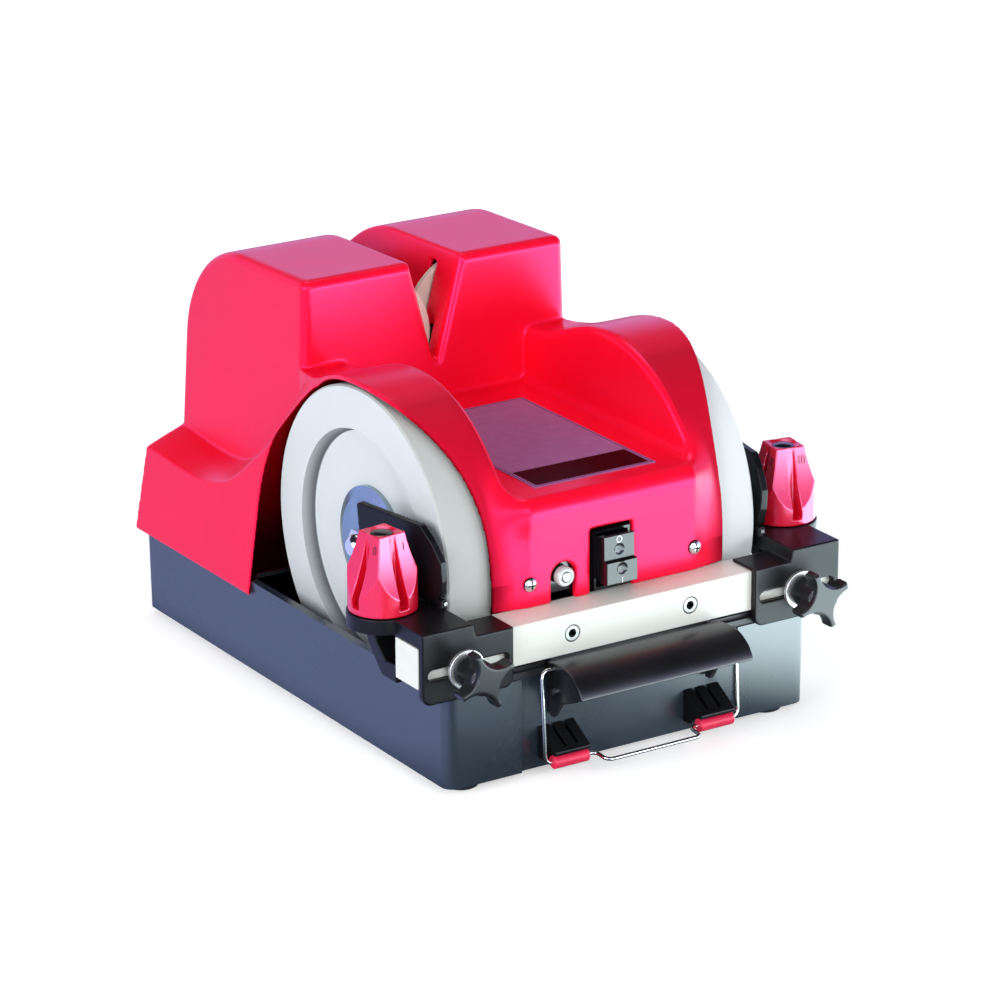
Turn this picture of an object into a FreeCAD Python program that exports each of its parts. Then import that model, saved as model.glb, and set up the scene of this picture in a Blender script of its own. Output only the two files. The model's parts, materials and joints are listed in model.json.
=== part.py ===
import FreeCAD, Part
import math
import os

# Table-top wet grinding and honing machine for knives.
# Millimetres. X runs across the machine, the switch side faces minus Y, Z points up.
# The origin is the middle of the standing area, on the table.
# Positions are first written as distances from the wheel axle and then moved by Y() and Z().

V = FreeCAD.Vector

# Reference lines
AXLE_Y = -44.9
AXLE_Z = 118.5
FOOT_HEIGHT = 5.5

# Clearances
RUN = 0.05
SLIDE = 0.10
SEAT = 0.02

# Grinding wheels
WHEEL_R = 100.0
WHEEL_FACE = 112.0
WHEEL_WIDTH = 32.0
WHEEL_RIM_R = 73.0
WHEEL_DISH_R = 70.0
WHEEL_DISH_DEPTH = 9.0
WHEEL_BORE_R = 16.0
FLANGE_R = 36.0
FLANGE_THICK = 6.0
AXLE_R = 10.0
AXLE_STUD_R = 6.0

# Water tub
TUB_HALF = 131.5
TUB_FRONT = -129.5
TUB_REAR = 246.0
TUB_BOTTOM = -113.0
TUB_TOP = -52.5
TUB_WALL = 3.0
TUB_DRAFT = 0.6
TUB_CORNER = 8.0
PANEL_HALF = 79.0
PANEL_DEPTH = 2.5

# Chassis plate
PLATE_THICK = 4.0
PLATE_NARROW_HALF = 66.0
PLATE_WIDE_HALF = 128.0
PLATE_TOP = TUB_TOP + PLATE_THICK
PLATE_REAR = 244.5
WELL_REAR = 102.8

# Cover
WALL = 3.5
COVER_BOTTOM = -61.5
COVER_FRONT = -109.5
FENDER_R = 106.0
HOUSE_R = 102.8
FENDER_REAR_Y = 96.0
FENDER_REAR_Z = 85.0
FENDER_END = math.radians(114.0)
PANEL_FADE = 72.0
PANEL_FLAT = 60.0
PANEL_BLEND = 82.0
PANEL_LIP = 45.0
SADDLE_HALF = 66.0
SADDLE_Z = 50.0
INNER_WALL_IN = 66.5
INNER_WALL_OUT = 70.0
ROOM_CORNER_Z = 35.0
ROOM_CORNER_Y = -94.0
BLOCK_FRONT = 91.5
BLOCK_TOP = 141.6
BLOCK_REAR = 246.0
BLOCK_ROUND = 72.0
BLOCK_EDGE = 5.5
TOP_FALL = math.radians(1.9)
REAR_LEAN = math.radians(3.5)
BLOCK_HALF_TOP = 96.5
BLOCK_HALF_MID = 101.0
SHELF_OUTER_Z = -6.5
SHELF_OUTER = 127.0
SKIRT_OUTER = 135.0
# height of the shelf at the block and at the outside, from the wheel opening to the rear
SHELF_RISE = ((56.0, 102.0, 54.0), (68.0, 94.0, 48.0), (78.0, 85.5, 42.5), (86.0, 76.0, 38.0),
              (93.0, 65.5, 33.5),
              (100.0, 54.5, 27.0), (108.0, 44.5, 21.5), (118.0, 33.0, 14.8), (128.0, 23.0, 8.3),
              (138.0, 15.5, 2.7), (148.0, 9.5, -2.2), (159.0, 5.6, -5.2), (172.0, 3.6, -6.6),
              (200.0, 3.4, -6.7), (270.0, 3.4, -6.7))
NOTCH_APEX = 75.0
NOTCH_HALF_TOP = 18.8
NOTCH_HALF_APEX = 1.0

# Cable inlet
INLET_X = 60.0
INLET_Z = -25.0
INLET_R = 9.0
INLET_PAD_R = 15.0
INLET_PAD_IN = 244.0
INLET_PAD_OUT = 253.3

# Cross bar
BAR_HALF = 152.0
BAR_FRONT = -130.0
BAR_REAR = -105.0
BAR_TOP = -17.6
BAR_BOTTOM = -43.0
BAR_SCREW_X = 43.0
BAR_SCREW_Z = -30.3

# Guide brackets
BRACKET_OUT = 151.6
BRACKET_IN = 88.2
BLOCK_IN = 116.2
PLATE_FRONT = -135.0
TAB_TOP = -15.3
BLOCK_TOP_Z = -7.7
PLATE_BOTTOM = -52.8
TAB_REAR = -110.5
BOSS_R = 22.0
SLOT_HALF = 24.5
SLOT_Z = -34.3
SLOT_R = 3.5
CLAMP_X = 122.0

# Setting knobs
KNOB_X = 146.4
KNOB_Y = -81.6
KNOB_R = 21.0
KNOB_BASE = -7.2
KNOB_TOP = 41.0
KNOB_TOP_HALF = 9.75
KNOB_FACET_END = 3.0
KNOB_WAIST = 19.0
KNOB_GROOVE_D = 9.6
KNOB_GROOVE_LOW = 6.6
KNOB_GROOVE_HIGH = 3.8
KNOB_LEDGE = -3.4
CAP_R = 6.5
CAP_SUNK = 1.5
SPINDLE_END = -22.0
TURN_LEFT = 7.4
TURN_RIGHT = -8.8

# Guide plates
GUIDE_THICK = 4.5
GUIDE_OUTER = 119.0
GUIDE_AXIS_Z = -5.0
GUIDE_TOP = 42.0
GUIDE_FRONT_FOOT = -98.0
GUIDE_FRONT_TOP = -88.0
GUIDE_REAR_FOOT = -62.0
GUIDE_REAR_TOP = -30.0
GUIDE_YAW = 9.7
LEAN_LEFT = 4.8
LEAN_RIGHT = 1.5
GUIDE_PIN_R = 1.25

# Star knobs
STAR_R = 19.2
STAR_THICK = 11.0
STAR_CUT_R = 14.4
STAR_CUT_D = 23.0
STAR_FRONT = -161.5
STAR_HUB_R = 10.0
WASHER_R = 12.2
WASHER_THICK = 2.2
CLAMP_SCREW_R = 3.0

# Latch
PIVOT_Y = -140.5
PIVOT_Z = -60.0
PIVOT_R = 2.0
LEVER_HALF = 62.5
BAIL_Y = -138.2
BAIL_Z = -46.6
WIRE_R = 1.25
LEG_X = 70.6
SLEEVE_Y = TUB_FRONT - 13.0
SLEEVE_Z = -104.6
SLEEVE_R = 4.25
SLEEVE_IN = 41.0
SLEEVE_OUT = 65.5
LOOP_X = 34.5
LOOP_Y = TUB_FRONT - 26.0
KEEPER_IN = 40.5
KEEPER_OUT = 66.0
KEEPER_REACH = 19.5
KEEPER_TOP = -86.0
KEEPER_LIP = -97.2
KEEPER_SLITS = ((6.2, 8.6), (15.0, 17.4))
SLIT_DEPTH = 4.0

# Switch and reset button
SWITCH_X = -1.2
SWITCH_HALF_W = 15.2
SWITCH_TOP = 24.5
ROCKER_X = -0.5
ROCKER_HALF_W = 11.2
ROCKER_HALF_H = 15.2
ROCKER_Z = 3.0
ROCKER_PIVOT_Y = -101.0
ROCKER_REACH = 16.0
ROCKER_TILT = 7.0
ROCKER_CROWN = 1.4
ROCKER_STEP = 3.0
DIMPLE_R = 9.0
DIMPLE_DEPTH = 0.8
BEZEL = 1.6
POCKET_GAP = 2.0
RESET_X = -36.0
RESET_Z = -1.4
RESET_NOTCH_R = 8.6

# Honing discs
DISC_R = 45.0
DISC_THICK = 5.0
DISC_X = 40.0
DISC_Z = 88.5
DISC_Y_LEFT = 110.0
DISC_Y_RIGHT = 121.0
SLOT_LOW = 62.0
SLOT_HIGH = 131.0
HONE_SHAFT_R = 6.0
HONE_PLATE_Y = 137.0
BELT_Y_LEFT = 149.0
BELT_Y_RIGHT = 161.0
BELT_WIDTH = 7.0
BELT_THICK = 1.8
HONE_PULLEY_R = 20.0
MOTOR_PULLEY_R = 12.0
MOTOR_Z = 3.0
MOTOR_REAR = 130.0


def Y(value):
    return value + AXLE_Y


def Z(value):
    return value + AXLE_Z


def box(x0, x1, y0, y1, z0, z1):
    return Part.makeBox(x1 - x0, y1 - y0, z1 - z0, V(x0, Y(y0), Z(z0)))


def rod(axis, radius, a, b, p, q):
    # axis letter, radius, start and end along it, the two other coordinates in X Y Z order
    if axis == "x":
        return Part.makeCylinder(radius, b - a, V(a, Y(p), Z(q)), V(1, 0, 0))
    if axis == "y":
        return Part.makeCylinder(radius, b - a, V(p, Y(a), Z(q)), V(0, 1, 0))
    return Part.makeCylinder(radius, b - a, V(p, Y(q), Z(a)), V(0, 0, 1))


def prism_x(points, x0, x1):
    # outline of (y, z) pairs, extruded across the machine
    wire = Part.makePolygon([V(x0, Y(y), Z(z)) for y, z in points + points[:1]])
    return Part.Face(wire).extrude(V(x1 - x0, 0, 0))


def prism_y(points, y0, y1):
    # outline of (x, z) pairs, extruded from front to rear
    wire = Part.makePolygon([V(x, Y(y0), Z(z)) for x, z in points + points[:1]])
    return Part.Face(wire).extrude(V(0, y1 - y0, 0))


def mirrored(shape):
    return shape.mirror(V(0, 0, 0), V(1, 0, 0))


def both(shape):
    return Part.makeCompound([shape, mirrored(shape)])


def joined(shapes):
    result = shapes[0]
    for shape in shapes[1:]:
        result = result.fuse(shape)
    return result.removeSplitter()


def one_solid(shape):
    if len(shape.Solids) == 1:
        return shape.Solids[0]
    return shape


def edges_where(shape, test):
    return [edge for edge in shape.Edges if test(edge)]


def rounded(shape, radius, test):
    picked = edges_where(shape, test)
    if not picked:
        return shape
    try:
        result = shape.makeFillet(radius, picked)
        if result.isValid() and result.Solids:
            return result
    except Exception:
        pass
    for edge in picked:
        try:
            match = [e for e in shape.Edges if e.CenterOfMass.distanceToPoint(edge.CenterOfMass) < 0.01]
            result = shape.makeFillet(radius, match[:1])
            if result.isValid() and result.Solids:
                shape = result
        except Exception:
            continue
    return shape


def spans(edge, axis):
    box_ = edge.BoundBox
    size = {"x": box_.XLength, "y": box_.YLength, "z": box_.ZLength}
    return all(size[k] < 1e-6 for k in size if k != axis) and size[axis] > 1.0


def at(value, target):
    return abs(value - target) < 1e-3


# Tub, feet and chassis

def tub_block(inset, bottom, top):
    half_low = TUB_HALF - inset
    half_high = TUB_HALF + TUB_DRAFT - inset
    wires = []
    for half, level, grow in ((half_low, bottom, 0.0), (half_high, top, TUB_DRAFT)):
        wires.append(rounded_frame(half, TUB_FRONT - grow * 0.3 + inset, TUB_REAR + grow - inset,
                                   TUB_CORNER - min(inset, 4.0), level))
    return Part.makeLoft(wires, True, True)


def rounded_frame(half, y0, y1, r, level):
    # closed outline with four rounded corners at one height
    lines = []
    corners = [(half - r, y0 + r, -90), (half - r, y1 - r, 0), (-half + r, y1 - r, 90),
               (-half + r, y0 + r, 180)]
    arcs = []
    for cx, cy, start in corners:
        circle = Part.Circle(V(cx, Y(cy), Z(level)), V(0, 0, 1), r)
        arcs.append(Part.Arc(circle, math.radians(start), math.radians(start + 90)).toShape())
    for index, arc in enumerate(arcs):
        lines.append(arc)
        nxt = arcs[(index + 1) % 4]
        lines.append(Part.makeLine(arc.valueAt(arc.LastParameter), nxt.valueAt(nxt.FirstParameter)))
    return Part.Wire(lines)


def water_tub():
    tub = tub_block(0.0, TUB_BOTTOM, TUB_TOP)
    panel = box(-PANEL_HALF, PANEL_HALF, TUB_FRONT - 5, TUB_FRONT + PANEL_DEPTH, TUB_BOTTOM - 1,
                TUB_TOP + 1)
    panel = rounded(panel, 2.0, lambda e: spans(e, "z") and e.BoundBox.YMin > Y(TUB_FRONT))
    tub = tub.cut(panel)
    inner = tub_block(TUB_WALL + PANEL_DEPTH, TUB_BOTTOM + TUB_WALL, TUB_TOP + 0.01)
    inner = joined([inner, box(-TUB_HALF + 6, TUB_HALF - 6, TUB_FRONT + 10, TUB_REAR - 6, TUB_TOP - 1,
                               TUB_TOP + 1)])
    tub = tub.cut(inner)
    rib = box(-60, 60, 100, 103, TUB_BOTTOM + TUB_WALL - 0.5, TUB_TOP - 12)
    tub = tub.fuse(rib).removeSplitter()
    return one_solid(tub)


def rubber_feet():
    feet = []
    for x in (-112.0, 112.0):
        for y in (TUB_FRONT + 17, TUB_REAR - 20):
            foot = rod("z", 11.0, TUB_BOTTOM - FOOT_HEIGHT, TUB_BOTTOM, x, y)
            foot = rounded(foot, 1.5, lambda e: at(e.BoundBox.ZMax, 0.0) and e.BoundBox.XLength > 5)
            feet.append(foot)
    return Part.makeCompound(feet)


def chassis():
    front_rail = TUB_FRONT + 4.0
    upstand_rear = -101.0
    plate = joined([
        box(-PLATE_NARROW_HALF, PLATE_NARROW_HALF, front_rail, WELL_REAR + 6, TUB_TOP, PLATE_TOP),
        box(-PLATE_WIDE_HALF, PLATE_WIDE_HALF, WELL_REAR + 4, PLATE_REAR, TUB_TOP, PLATE_TOP),
        box(-PLATE_WIDE_HALF, PLATE_WIDE_HALF, TUB_FRONT + 1.0, BAR_REAR, TUB_TOP, PLATE_TOP),
        box(-PLATE_NARROW_HALF, PLATE_NARROW_HALF, BAR_REAR, upstand_rear, PLATE_TOP - 1, BAR_TOP - 1.5),
    ])
    for side in (-1, 1):
        tab = box(side * 60 - 6, side * 60 + 6, BAR_REAR, upstand_rear, BAR_TOP - 2, 4.0)
        plate = plate.fuse(tab)
    rail = box(-100, 100, front_rail, BAR_REAR, PLATE_TOP - 1, BAR_BOTTOM - 3.0)
    plate = plate.fuse(rail).removeSplitter()
    for side in (-1, 1):
        plate = plate.cut(box(side * 57 - 2.4, side * 57 + 2.4, TUB_FRONT, -122.5, TUB_TOP - 1, BAR_BOTTOM))
        plate = plate.cut(rod("y", 3.0 + RUN, BAR_REAR - 1, upstand_rear + 1, side * BAR_SCREW_X,
                              BAR_SCREW_Z))
        plate = plate.cut(rod("y", 2.5 + RUN, BAR_REAR - 1, upstand_rear + 1, side * 60, -2.3))
    return one_solid(plate.removeSplitter())


# Cover

def across(wire, half):
    shape = Part.Face(wire).extrude(V(2 * half, 0, 0))
    shape.translate(V(-half, 0, 0))
    return shape


def on_shoulder(turn, inset):
    # point of the round shoulder of the rear block, counted from straight up
    centre_y = BLOCK_REAR - BLOCK_ROUND
    centre_z = (BLOCK_TOP - BLOCK_ROUND / math.cos(TOP_FALL) - (centre_y - BLOCK_FRONT) * math.tan(TOP_FALL))
    radius = BLOCK_ROUND - inset
    return centre_y + radius * math.sin(turn), centre_z + radius * math.cos(turn)


def rear_wall(level, inset):
    # how far back the leaning rear wall stands at one height
    end_y, end_z = on_shoulder(math.pi / 2 - REAR_LEAN, inset)
    return end_y + (end_z - level) * math.tan(REAR_LEAN)


def block_profile(front, inset, low):
    # side outline of the rear block: falling top, round shoulder, leaning rear wall
    start_y, start_z = on_shoulder(TOP_FALL, inset)
    mid_y, mid_z = on_shoulder(math.radians(45), inset)
    end_y, end_z = on_shoulder(math.pi / 2 - REAR_LEAN, inset)
    front_z = start_z + (start_y - front) * math.tan(TOP_FALL)
    low_y = rear_wall(low, inset)
    top_front, start = V(0, Y(front), Z(front_z)), V(0, Y(start_y), Z(start_z))
    end, low_rear = V(0, Y(end_y), Z(end_z)), V(0, Y(low_y), Z(low))
    low_front = V(0, Y(front), Z(low))
    return Part.Wire([
        Part.makeLine(low_front, top_front),
        Part.makeLine(top_front, start),
        Part.Arc(start, V(0, Y(mid_y), Z(mid_z)), end).toShape(),
        Part.makeLine(end, low_rear),
        Part.makeLine(low_rear, low_front),
    ])


def half_at(level, inset):
    slope = (BLOCK_HALF_MID - BLOCK_HALF_TOP) / BLOCK_TOP
    return BLOCK_HALF_MID - slope * level - inset


def rear_block(inset, front, low):
    body = across(block_profile(front, inset, low), 130.0)
    high = BLOCK_TOP + 5
    sides = [(-half_at(low, inset), low), (half_at(low, inset), low),
             (half_at(high, inset), high), (-half_at(high, inset), high)]
    return body.common(prism_y(sides, front - 5, BLOCK_REAR + 30))


def notch_outline(inset):
    slope = (NOTCH_HALF_TOP - NOTCH_HALF_APEX) / (BLOCK_TOP - NOTCH_APEX)
    grow = inset * math.sqrt(1 + slope * slope)
    high = BLOCK_TOP + 8
    apex = NOTCH_APEX - inset
    low_half = NOTCH_HALF_APEX + grow - slope * inset
    top_half = NOTCH_HALF_APEX + grow + slope * (high - NOTCH_APEX)
    return [(-low_half, apex), (low_half, apex), (top_half, high), (-top_half, high)]


def notch(inset, y0, y1):
    return prism_y(notch_outline(inset), y0, y1)


def notch_mouth():
    # flared front end of the notch, a coarse rounding of its edges
    wires = []
    for depth, grow in ((-0.1, 3.4), (1.2, 1.4), (5.0, -0.4)):
        corners = notch_outline(grow)
        points = [V(x, Y(BLOCK_FRONT + depth), Z(z)) for x, z in corners + corners[:1]]
        wires.append(Part.makePolygon(points))
    return Part.makeLoft(wires, True, True)


def shelf_curve(x, share, low, inset):
    # upper line of one flared cheek in a plane across the machine; share 0 at the block, 1 at the outside
    points = []
    for y, inner, outer in SHELF_RISE:
        level = inner + (outer - inner) * share
        points.append(V(x, Y(y), Z(level - inset)))
    top = Part.BSplineCurve()
    top.interpolate(points)
    low_front, low_rear = V(x, points[0].y, Z(low)), V(x, points[-1].y, Z(low))
    return Part.Wire([
        top.toShape(),
        Part.makeLine(points[-1], low_rear),
        Part.makeLine(low_rear, low_front),
        Part.makeLine(low_front, points[0]),
    ])


def skirt(inset, low):
    inner_x, outer_x = 80.0, 140.0
    width = SHELF_OUTER - BLOCK_HALF_MID
    side = Part.makeLoft([shelf_curve(inner_x, (inner_x - BLOCK_HALF_MID) / width, low, inset),
                          shelf_curve(outer_x, (outer_x - BLOCK_HALF_MID) / width, low, inset)], True, True)
    rear = SHELF_RISE[-1][0]
    body = joined([side, mirrored(side), box(-81, 81, HOUSE_R, rear, low, SHELF_OUTER_Z)])
    lean = (SKIRT_OUTER - SHELF_OUTER) / (SHELF_OUTER_Z - COVER_BOTTOM)
    high = 110.0
    wide = SHELF_OUTER + lean * (SHELF_OUTER_Z - low) - inset
    narrow = SHELF_OUTER - lean * (high - SHELF_OUTER_Z) - inset
    body = body.common(prism_y([(-wide, low), (wide, low), (narrow, high), (-narrow, high)], 50.0, 275.0))
    side_view = [(50, low), (rear_wall(low, inset), low), (rear_wall(high, inset), high), (50, high)]
    return body.common(prism_x(side_view, -150, 150))


def front_section(x, share):
    # wheel cover outline at one place across the machine; share 1 is the flat middle, 0 the wheel curve
    radius = FENDER_R
    lip_bulge = -math.sqrt(radius * radius - PANEL_LIP * PANEL_LIP) - COVER_FRONT
    points = []
    for z in (0.0, 15.0, 30.0, 42.0, 47.0, 51.0, 55.0, 60.0, 66.0, PANEL_FADE):
        curve = -math.sqrt(radius * radius - z * z)
        if z <= PANEL_LIP:
            bulge = curve - COVER_FRONT
        else:
            bulge = lip_bulge * ((PANEL_FADE - z) / (PANEL_FADE - PANEL_LIP)) ** 1.6
        points.append(V(x, Y(curve - share * bulge), Z(z)))
    start = math.asin(PANEL_FADE / radius)
    for step in range(1, 8):
        turn = start + (FENDER_END - start) * step / 7.0
        points.append(V(x, Y(-radius * math.cos(turn)), Z(radius * math.sin(turn))))
    for y, z in ((56.0, 91.8), (70.0, 87.6), (84.0, 85.5), (FENDER_REAR_Y, FENDER_REAR_Z)):
        points.append(V(x, Y(y), Z(z)))
    front = Part.BSplineCurve()
    front.interpolate(points)
    low = COVER_BOTTOM
    base = V(x, points[0].y, Z(low))
    low_rear = V(x, Y(FENDER_REAR_Y), Z(low))
    return Part.Wire([
        Part.makeLine(base, points[0]),
        front.toShape(),
        Part.makeLine(points[-1], low_rear),
        Part.makeLine(low_rear, base),
    ])


def fender_plan():
    # outer sides of the wheel covers seen from above, one smooth line on each side
    side = [(84.0, COVER_FRONT - 2.0), (85.5, -98.0), (89.2, -85.5), (93.8, -74.0), (100.9, -57.0),
            (108.2, -37.0), (113.2, -17.0), (114.9, 2.0), (114.3, 20.0), (110.4, 45.0), (106.6, 62.0),
            (102.2, 80.0), (98.2, FENDER_REAR_Y + 1)]
    level = Z(COVER_BOTTOM - 1)
    edges = []
    for sign in (1, -1):
        curve = Part.BSplineCurve()
        curve.interpolate([V(sign * x, Y(y), level) for x, y in side])
        edges.append(curve.toShape())
    for x, y in (side[0], side[-1]):
        edges.append(Part.makeLine(V(-x, Y(y), level), V(x, Y(y), level)))
    wire = Part.Wire(Part.__sortEdges__(edges))
    return Part.Face(wire).extrude(V(0, 0, 200.0))


def front_body():
    core = Part.Face(front_section(-PANEL_FLAT, 1.0)).extrude(V(2 * PANEL_FLAT, 0, 0))
    blend = Part.makeLoft([front_section(PANEL_FLAT, 1.0), front_section(PANEL_BLEND, 0.0)], True, True)
    outer = Part.Face(front_section(PANEL_BLEND, 0.0)).extrude(V(125.0 - PANEL_BLEND, 0, 0))
    body = core.fuse([blend, mirrored(blend), outer, mirrored(outer)]).removeSplitter()
    body = body.common(fender_plan())
    seat = box(-SADDLE_HALF, SADDLE_HALF, -130, 130, SADDLE_Z, 130)
    seat = rounded(seat, 7.0, lambda e: spans(e, "y") and at(e.BoundBox.ZMin, Z(SADDLE_Z)))
    return body.cut(seat)


def soften_front(body):
    body = rounded(body, 9.0, lambda e: abs(e.CenterOfMass.x) > 90 and e.BoundBox.ZMax > Z(100)
                   and e.Length > 150)
    body = rounded(body, 5.5, lambda e: at(abs(e.CenterOfMass.x), SADDLE_HALF) and e.BoundBox.ZMax > Z(100)
                   and e.BoundBox.YLength > 50)
    return rounded(body, 5.0, lambda e: at(e.BoundBox.YMin, Y(COVER_FRONT))
                   and at(e.BoundBox.YMax, Y(COVER_FRONT))
                   and e.BoundBox.ZMin > Z(20))


def soft_block():
    # rear block with rounded edges, then the notch with a flared mouth
    block = rear_block(0.0, BLOCK_FRONT, COVER_BOTTOM)
    block = rounded(block, BLOCK_EDGE, lambda e: e.BoundBox.ZMax > Z(60))
    cutter = notch(0.0, 60, 300).fuse(notch_mouth())
    block = block.cut(cutter)
    return rounded(block, 2.6, lambda e: abs(e.CenterOfMass.x) < 40 and e.CenterOfMass.z > Z(130)
                   and e.BoundBox.YLength > 50)


def cover_outer():
    # rear block, wheel covers and the flared cheeks that sweep around the wheel openings
    cheeks = skirt(0.0, COVER_BOTTOM).common(box(-150, 150, 50, 300, COVER_BOTTOM - 1, FENDER_REAR_Z - 0.3))
    return joined([soft_block(), soften_front(front_body()), cheeks])


def cover_rooms():
    # hollows of the cover: rear block, motor room and the two cheeks
    low = COVER_BOTTOM - 10
    room = rear_block(WALL, BLOCK_FRONT + WALL, low).cut(notch(WALL, 60, 300))
    shield = joined([rod("x", HOUSE_R + WALL, INNER_WALL_IN, 150, 0, 0),
                     box(INNER_WALL_IN, 150, 0, WELL_REAR + WALL, low, 10)])
    room = room.cut(shield).cut(mirrored(shield))
    motor_room = box(-INNER_WALL_IN, INNER_WALL_IN, BAR_REAR, 120, low, SADDLE_Z - 3.0)
    corner = [(BAR_REAR - 1, ROOM_CORNER_Z), (BAR_REAR - 1, SADDLE_Z), (ROOM_CORNER_Y, SADDLE_Z)]
    motor_room = motor_room.cut(prism_x(corner, -INNER_WALL_OUT, INNER_WALL_OUT))
    cheeks = skirt(WALL - 0.5, low).common(box(-150, 150, WELL_REAR + WALL, 300, low, 60))
    return [room, motor_room, cheeks]


def wheel_house(side):
    # round over the axle, straight down behind and in front of the wheel, open to the outside
    drum = rod("x", HOUSE_R, INNER_WALL_OUT, 150, 0, 0)
    well = box(INNER_WALL_OUT, 150, -HOUSE_R, WELL_REAR, COVER_BOTTOM - 5, 0)
    room = joined([drum, well])
    if side < 0:
        room = mirrored(room)
    return room


def top_cover():
    cover = cover_outer()
    for room in cover_rooms():
        cover = cover.cut(room)
    for side in (-1, 1):
        cover = cover.cut(wheel_house(side))
    cover = cover.cut(box(-150, 150, -130, -100.7, COVER_BOTTOM - 5, BAR_TOP + SEAT))
    rim = TUB_HALF + TUB_DRAFT + 0.3
    rim_rear = TUB_REAR + TUB_DRAFT + 0.4
    cover = cover.cut(box(-rim, rim, -130, rim_rear, COVER_BOTTOM - 5, TUB_TOP + SEAT))
    cover = cover.cut(box(-PLATE_WIDE_HALF - 0.3, PLATE_WIDE_HALF + 0.3, -130, PLATE_REAR + 0.3,
                          COVER_BOTTOM - 5, PLATE_TOP + SEAT))
    cover = cover.cut(rod("x", AXLE_R + 2.0, -90, 90, 0, 0))
    cover = cover.cut(disc_slots())
    cover = cover.cut(front_openings())
    cover = cover.fuse(rod("y", INLET_PAD_R, INLET_PAD_IN, INLET_PAD_OUT, INLET_X, INLET_Z))
    cover = cover.cut(rod("y", INLET_R + RUN, 200, 280, INLET_X, INLET_Z))
    return one_solid(largest(cover))


def largest(shape):
    solids = sorted(shape.Solids, key=lambda s: s.Volume)
    return solids[-1].removeSplitter()


def disc_slots():
    gap = 1.4
    half = DISC_THICK / 2 + gap
    reach = DISC_R - DISC_X + 3.5
    left = box(-34, reach, DISC_Y_LEFT - half, DISC_Y_LEFT + half, SLOT_LOW, SLOT_HIGH)
    right = box(-reach, 34, DISC_Y_RIGHT - half, DISC_Y_RIGHT + half, SLOT_LOW, SLOT_HIGH)
    return Part.makeCompound([left, right])


def front_openings():
    y0 = -118.0
    y1 = BAR_REAR + 0.5
    switch = box(SWITCH_X - SWITCH_HALF_W, SWITCH_X + SWITCH_HALF_W, y0, y1, BAR_TOP - 1, SWITCH_TOP)
    button = joined([rod("y", RESET_NOTCH_R, y0, y1, RESET_X, RESET_Z),
                     box(RESET_X - RESET_NOTCH_R, RESET_X + RESET_NOTCH_R, y0, y1, BAR_TOP - 1, RESET_Z)])
    holes = [rod("y", 2.5 + RUN, y0, y1, side * 60.0, -2.3) for side in (-1, 1)]
    return Part.makeCompound([switch, button] + holes)


def data_plate():
    plate = box(-44.0, 44.0, -90.0, 60.0, SADDLE_Z, SADDLE_Z + 0.6)
    return rounded(plate, 3.0, lambda e: spans(e, "z"))


# Cross bar and its screws

def cross_bar():
    bar = box(-BAR_HALF, BAR_HALF, BAR_FRONT, BAR_REAR, BAR_BOTTOM, BAR_TOP)
    bar = rounded(bar, 0.6, lambda e: spans(e, "x"))
    for side in (-1, 1):
        x = side * BAR_SCREW_X
        bar = bar.cut(rod("y", 3.0 + RUN, BAR_FRONT - 1, BAR_REAR + 1, x, BAR_SCREW_Z))
        bar = bar.cut(rod("y", 5.5 + SLIDE, BAR_FRONT - 1, BAR_FRONT + 6.0, x, BAR_SCREW_Z))
        bar = bar.cut(rod("y", CLAMP_SCREW_R + RUN, BAR_FRONT - 1, BAR_FRONT + 16.0, side * CLAMP_X,
                          SLOT_Z))
    return one_solid(bar)


def hexagon(across_flats, y0, y1, x, z):
    radius = across_flats / math.sqrt(3)
    points = []
    for step in range(6):
        turn = math.radians(60 * step)
        points.append((x + radius * math.cos(turn), z + radius * math.sin(turn)))
    return prism_y(points, y0, y1)


def bar_screws():
    screws = []
    for side in (-1, 1):
        x = side * BAR_SCREW_X
        head = rod("y", 5.5, BAR_FRONT + 0.3, BAR_FRONT + 6.0, x, BAR_SCREW_Z)
        head = rounded(head, 0.5, lambda e: at(e.BoundBox.YMin, Y(BAR_FRONT + 0.3)) and e.Length > 20)
        shank = rod("y", 3.0, BAR_FRONT + 5.5, -100.0, x, BAR_SCREW_Z)
        screw = head.fuse(shank).removeSplitter()
        screws.append(screw.cut(hexagon(5.0, BAR_FRONT - 1, BAR_FRONT + 3.5, x, BAR_SCREW_Z)))
    return Part.makeCompound([one_solid(s) for s in screws])


def cover_screws():
    screws = []
    for side in (-1, 1):
        x = side * 60.0
        base = COVER_FRONT
        head = Part.makeSphere(6.0, V(x, Y(base + 3.2), Z(-2.3)))
        head = head.common(rod("y", 4.6, base - 3.2, base - SEAT, x, -2.3))
        shank = rod("y", 2.5, base - 0.5, -99.5, x, -2.3)
        screw = head.fuse(shank).removeSplitter()
        for w, h in ((5.0, 1.1), (1.1, 5.0)):
            screw = screw.cut(box(x - w / 2, x + w / 2, base - 5, base - 1.6, -2.3 - h / 2, -2.3 + h / 2))
        screws.append(screw)
    return Part.makeCompound([one_solid(s) for s in screws])


# Wheels and drive

def revolve_x(points):
    # outline of (x, radius) pairs turned about the axle
    wire = Part.makePolygon([V(x, Y(0), Z(r)) for x, r in points + points[:1]])
    return Part.Face(wire).revolve(V(0, Y(0), Z(0)), V(1, 0, 0), 360)


def wheel():
    inner = WHEEL_FACE - WHEEL_WIDTH
    edge = 1.2
    points = [(inner, WHEEL_BORE_R), (inner, WHEEL_R - edge), (inner + edge, WHEEL_R),
              (WHEEL_FACE - edge, WHEEL_R), (WHEEL_FACE, WHEEL_R - edge), (WHEEL_FACE, WHEEL_RIM_R),
              (WHEEL_FACE - WHEEL_DISH_DEPTH, WHEEL_DISH_R), (WHEEL_FACE - WHEEL_DISH_DEPTH, WHEEL_BORE_R)]
    return revolve_x(points)


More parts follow.
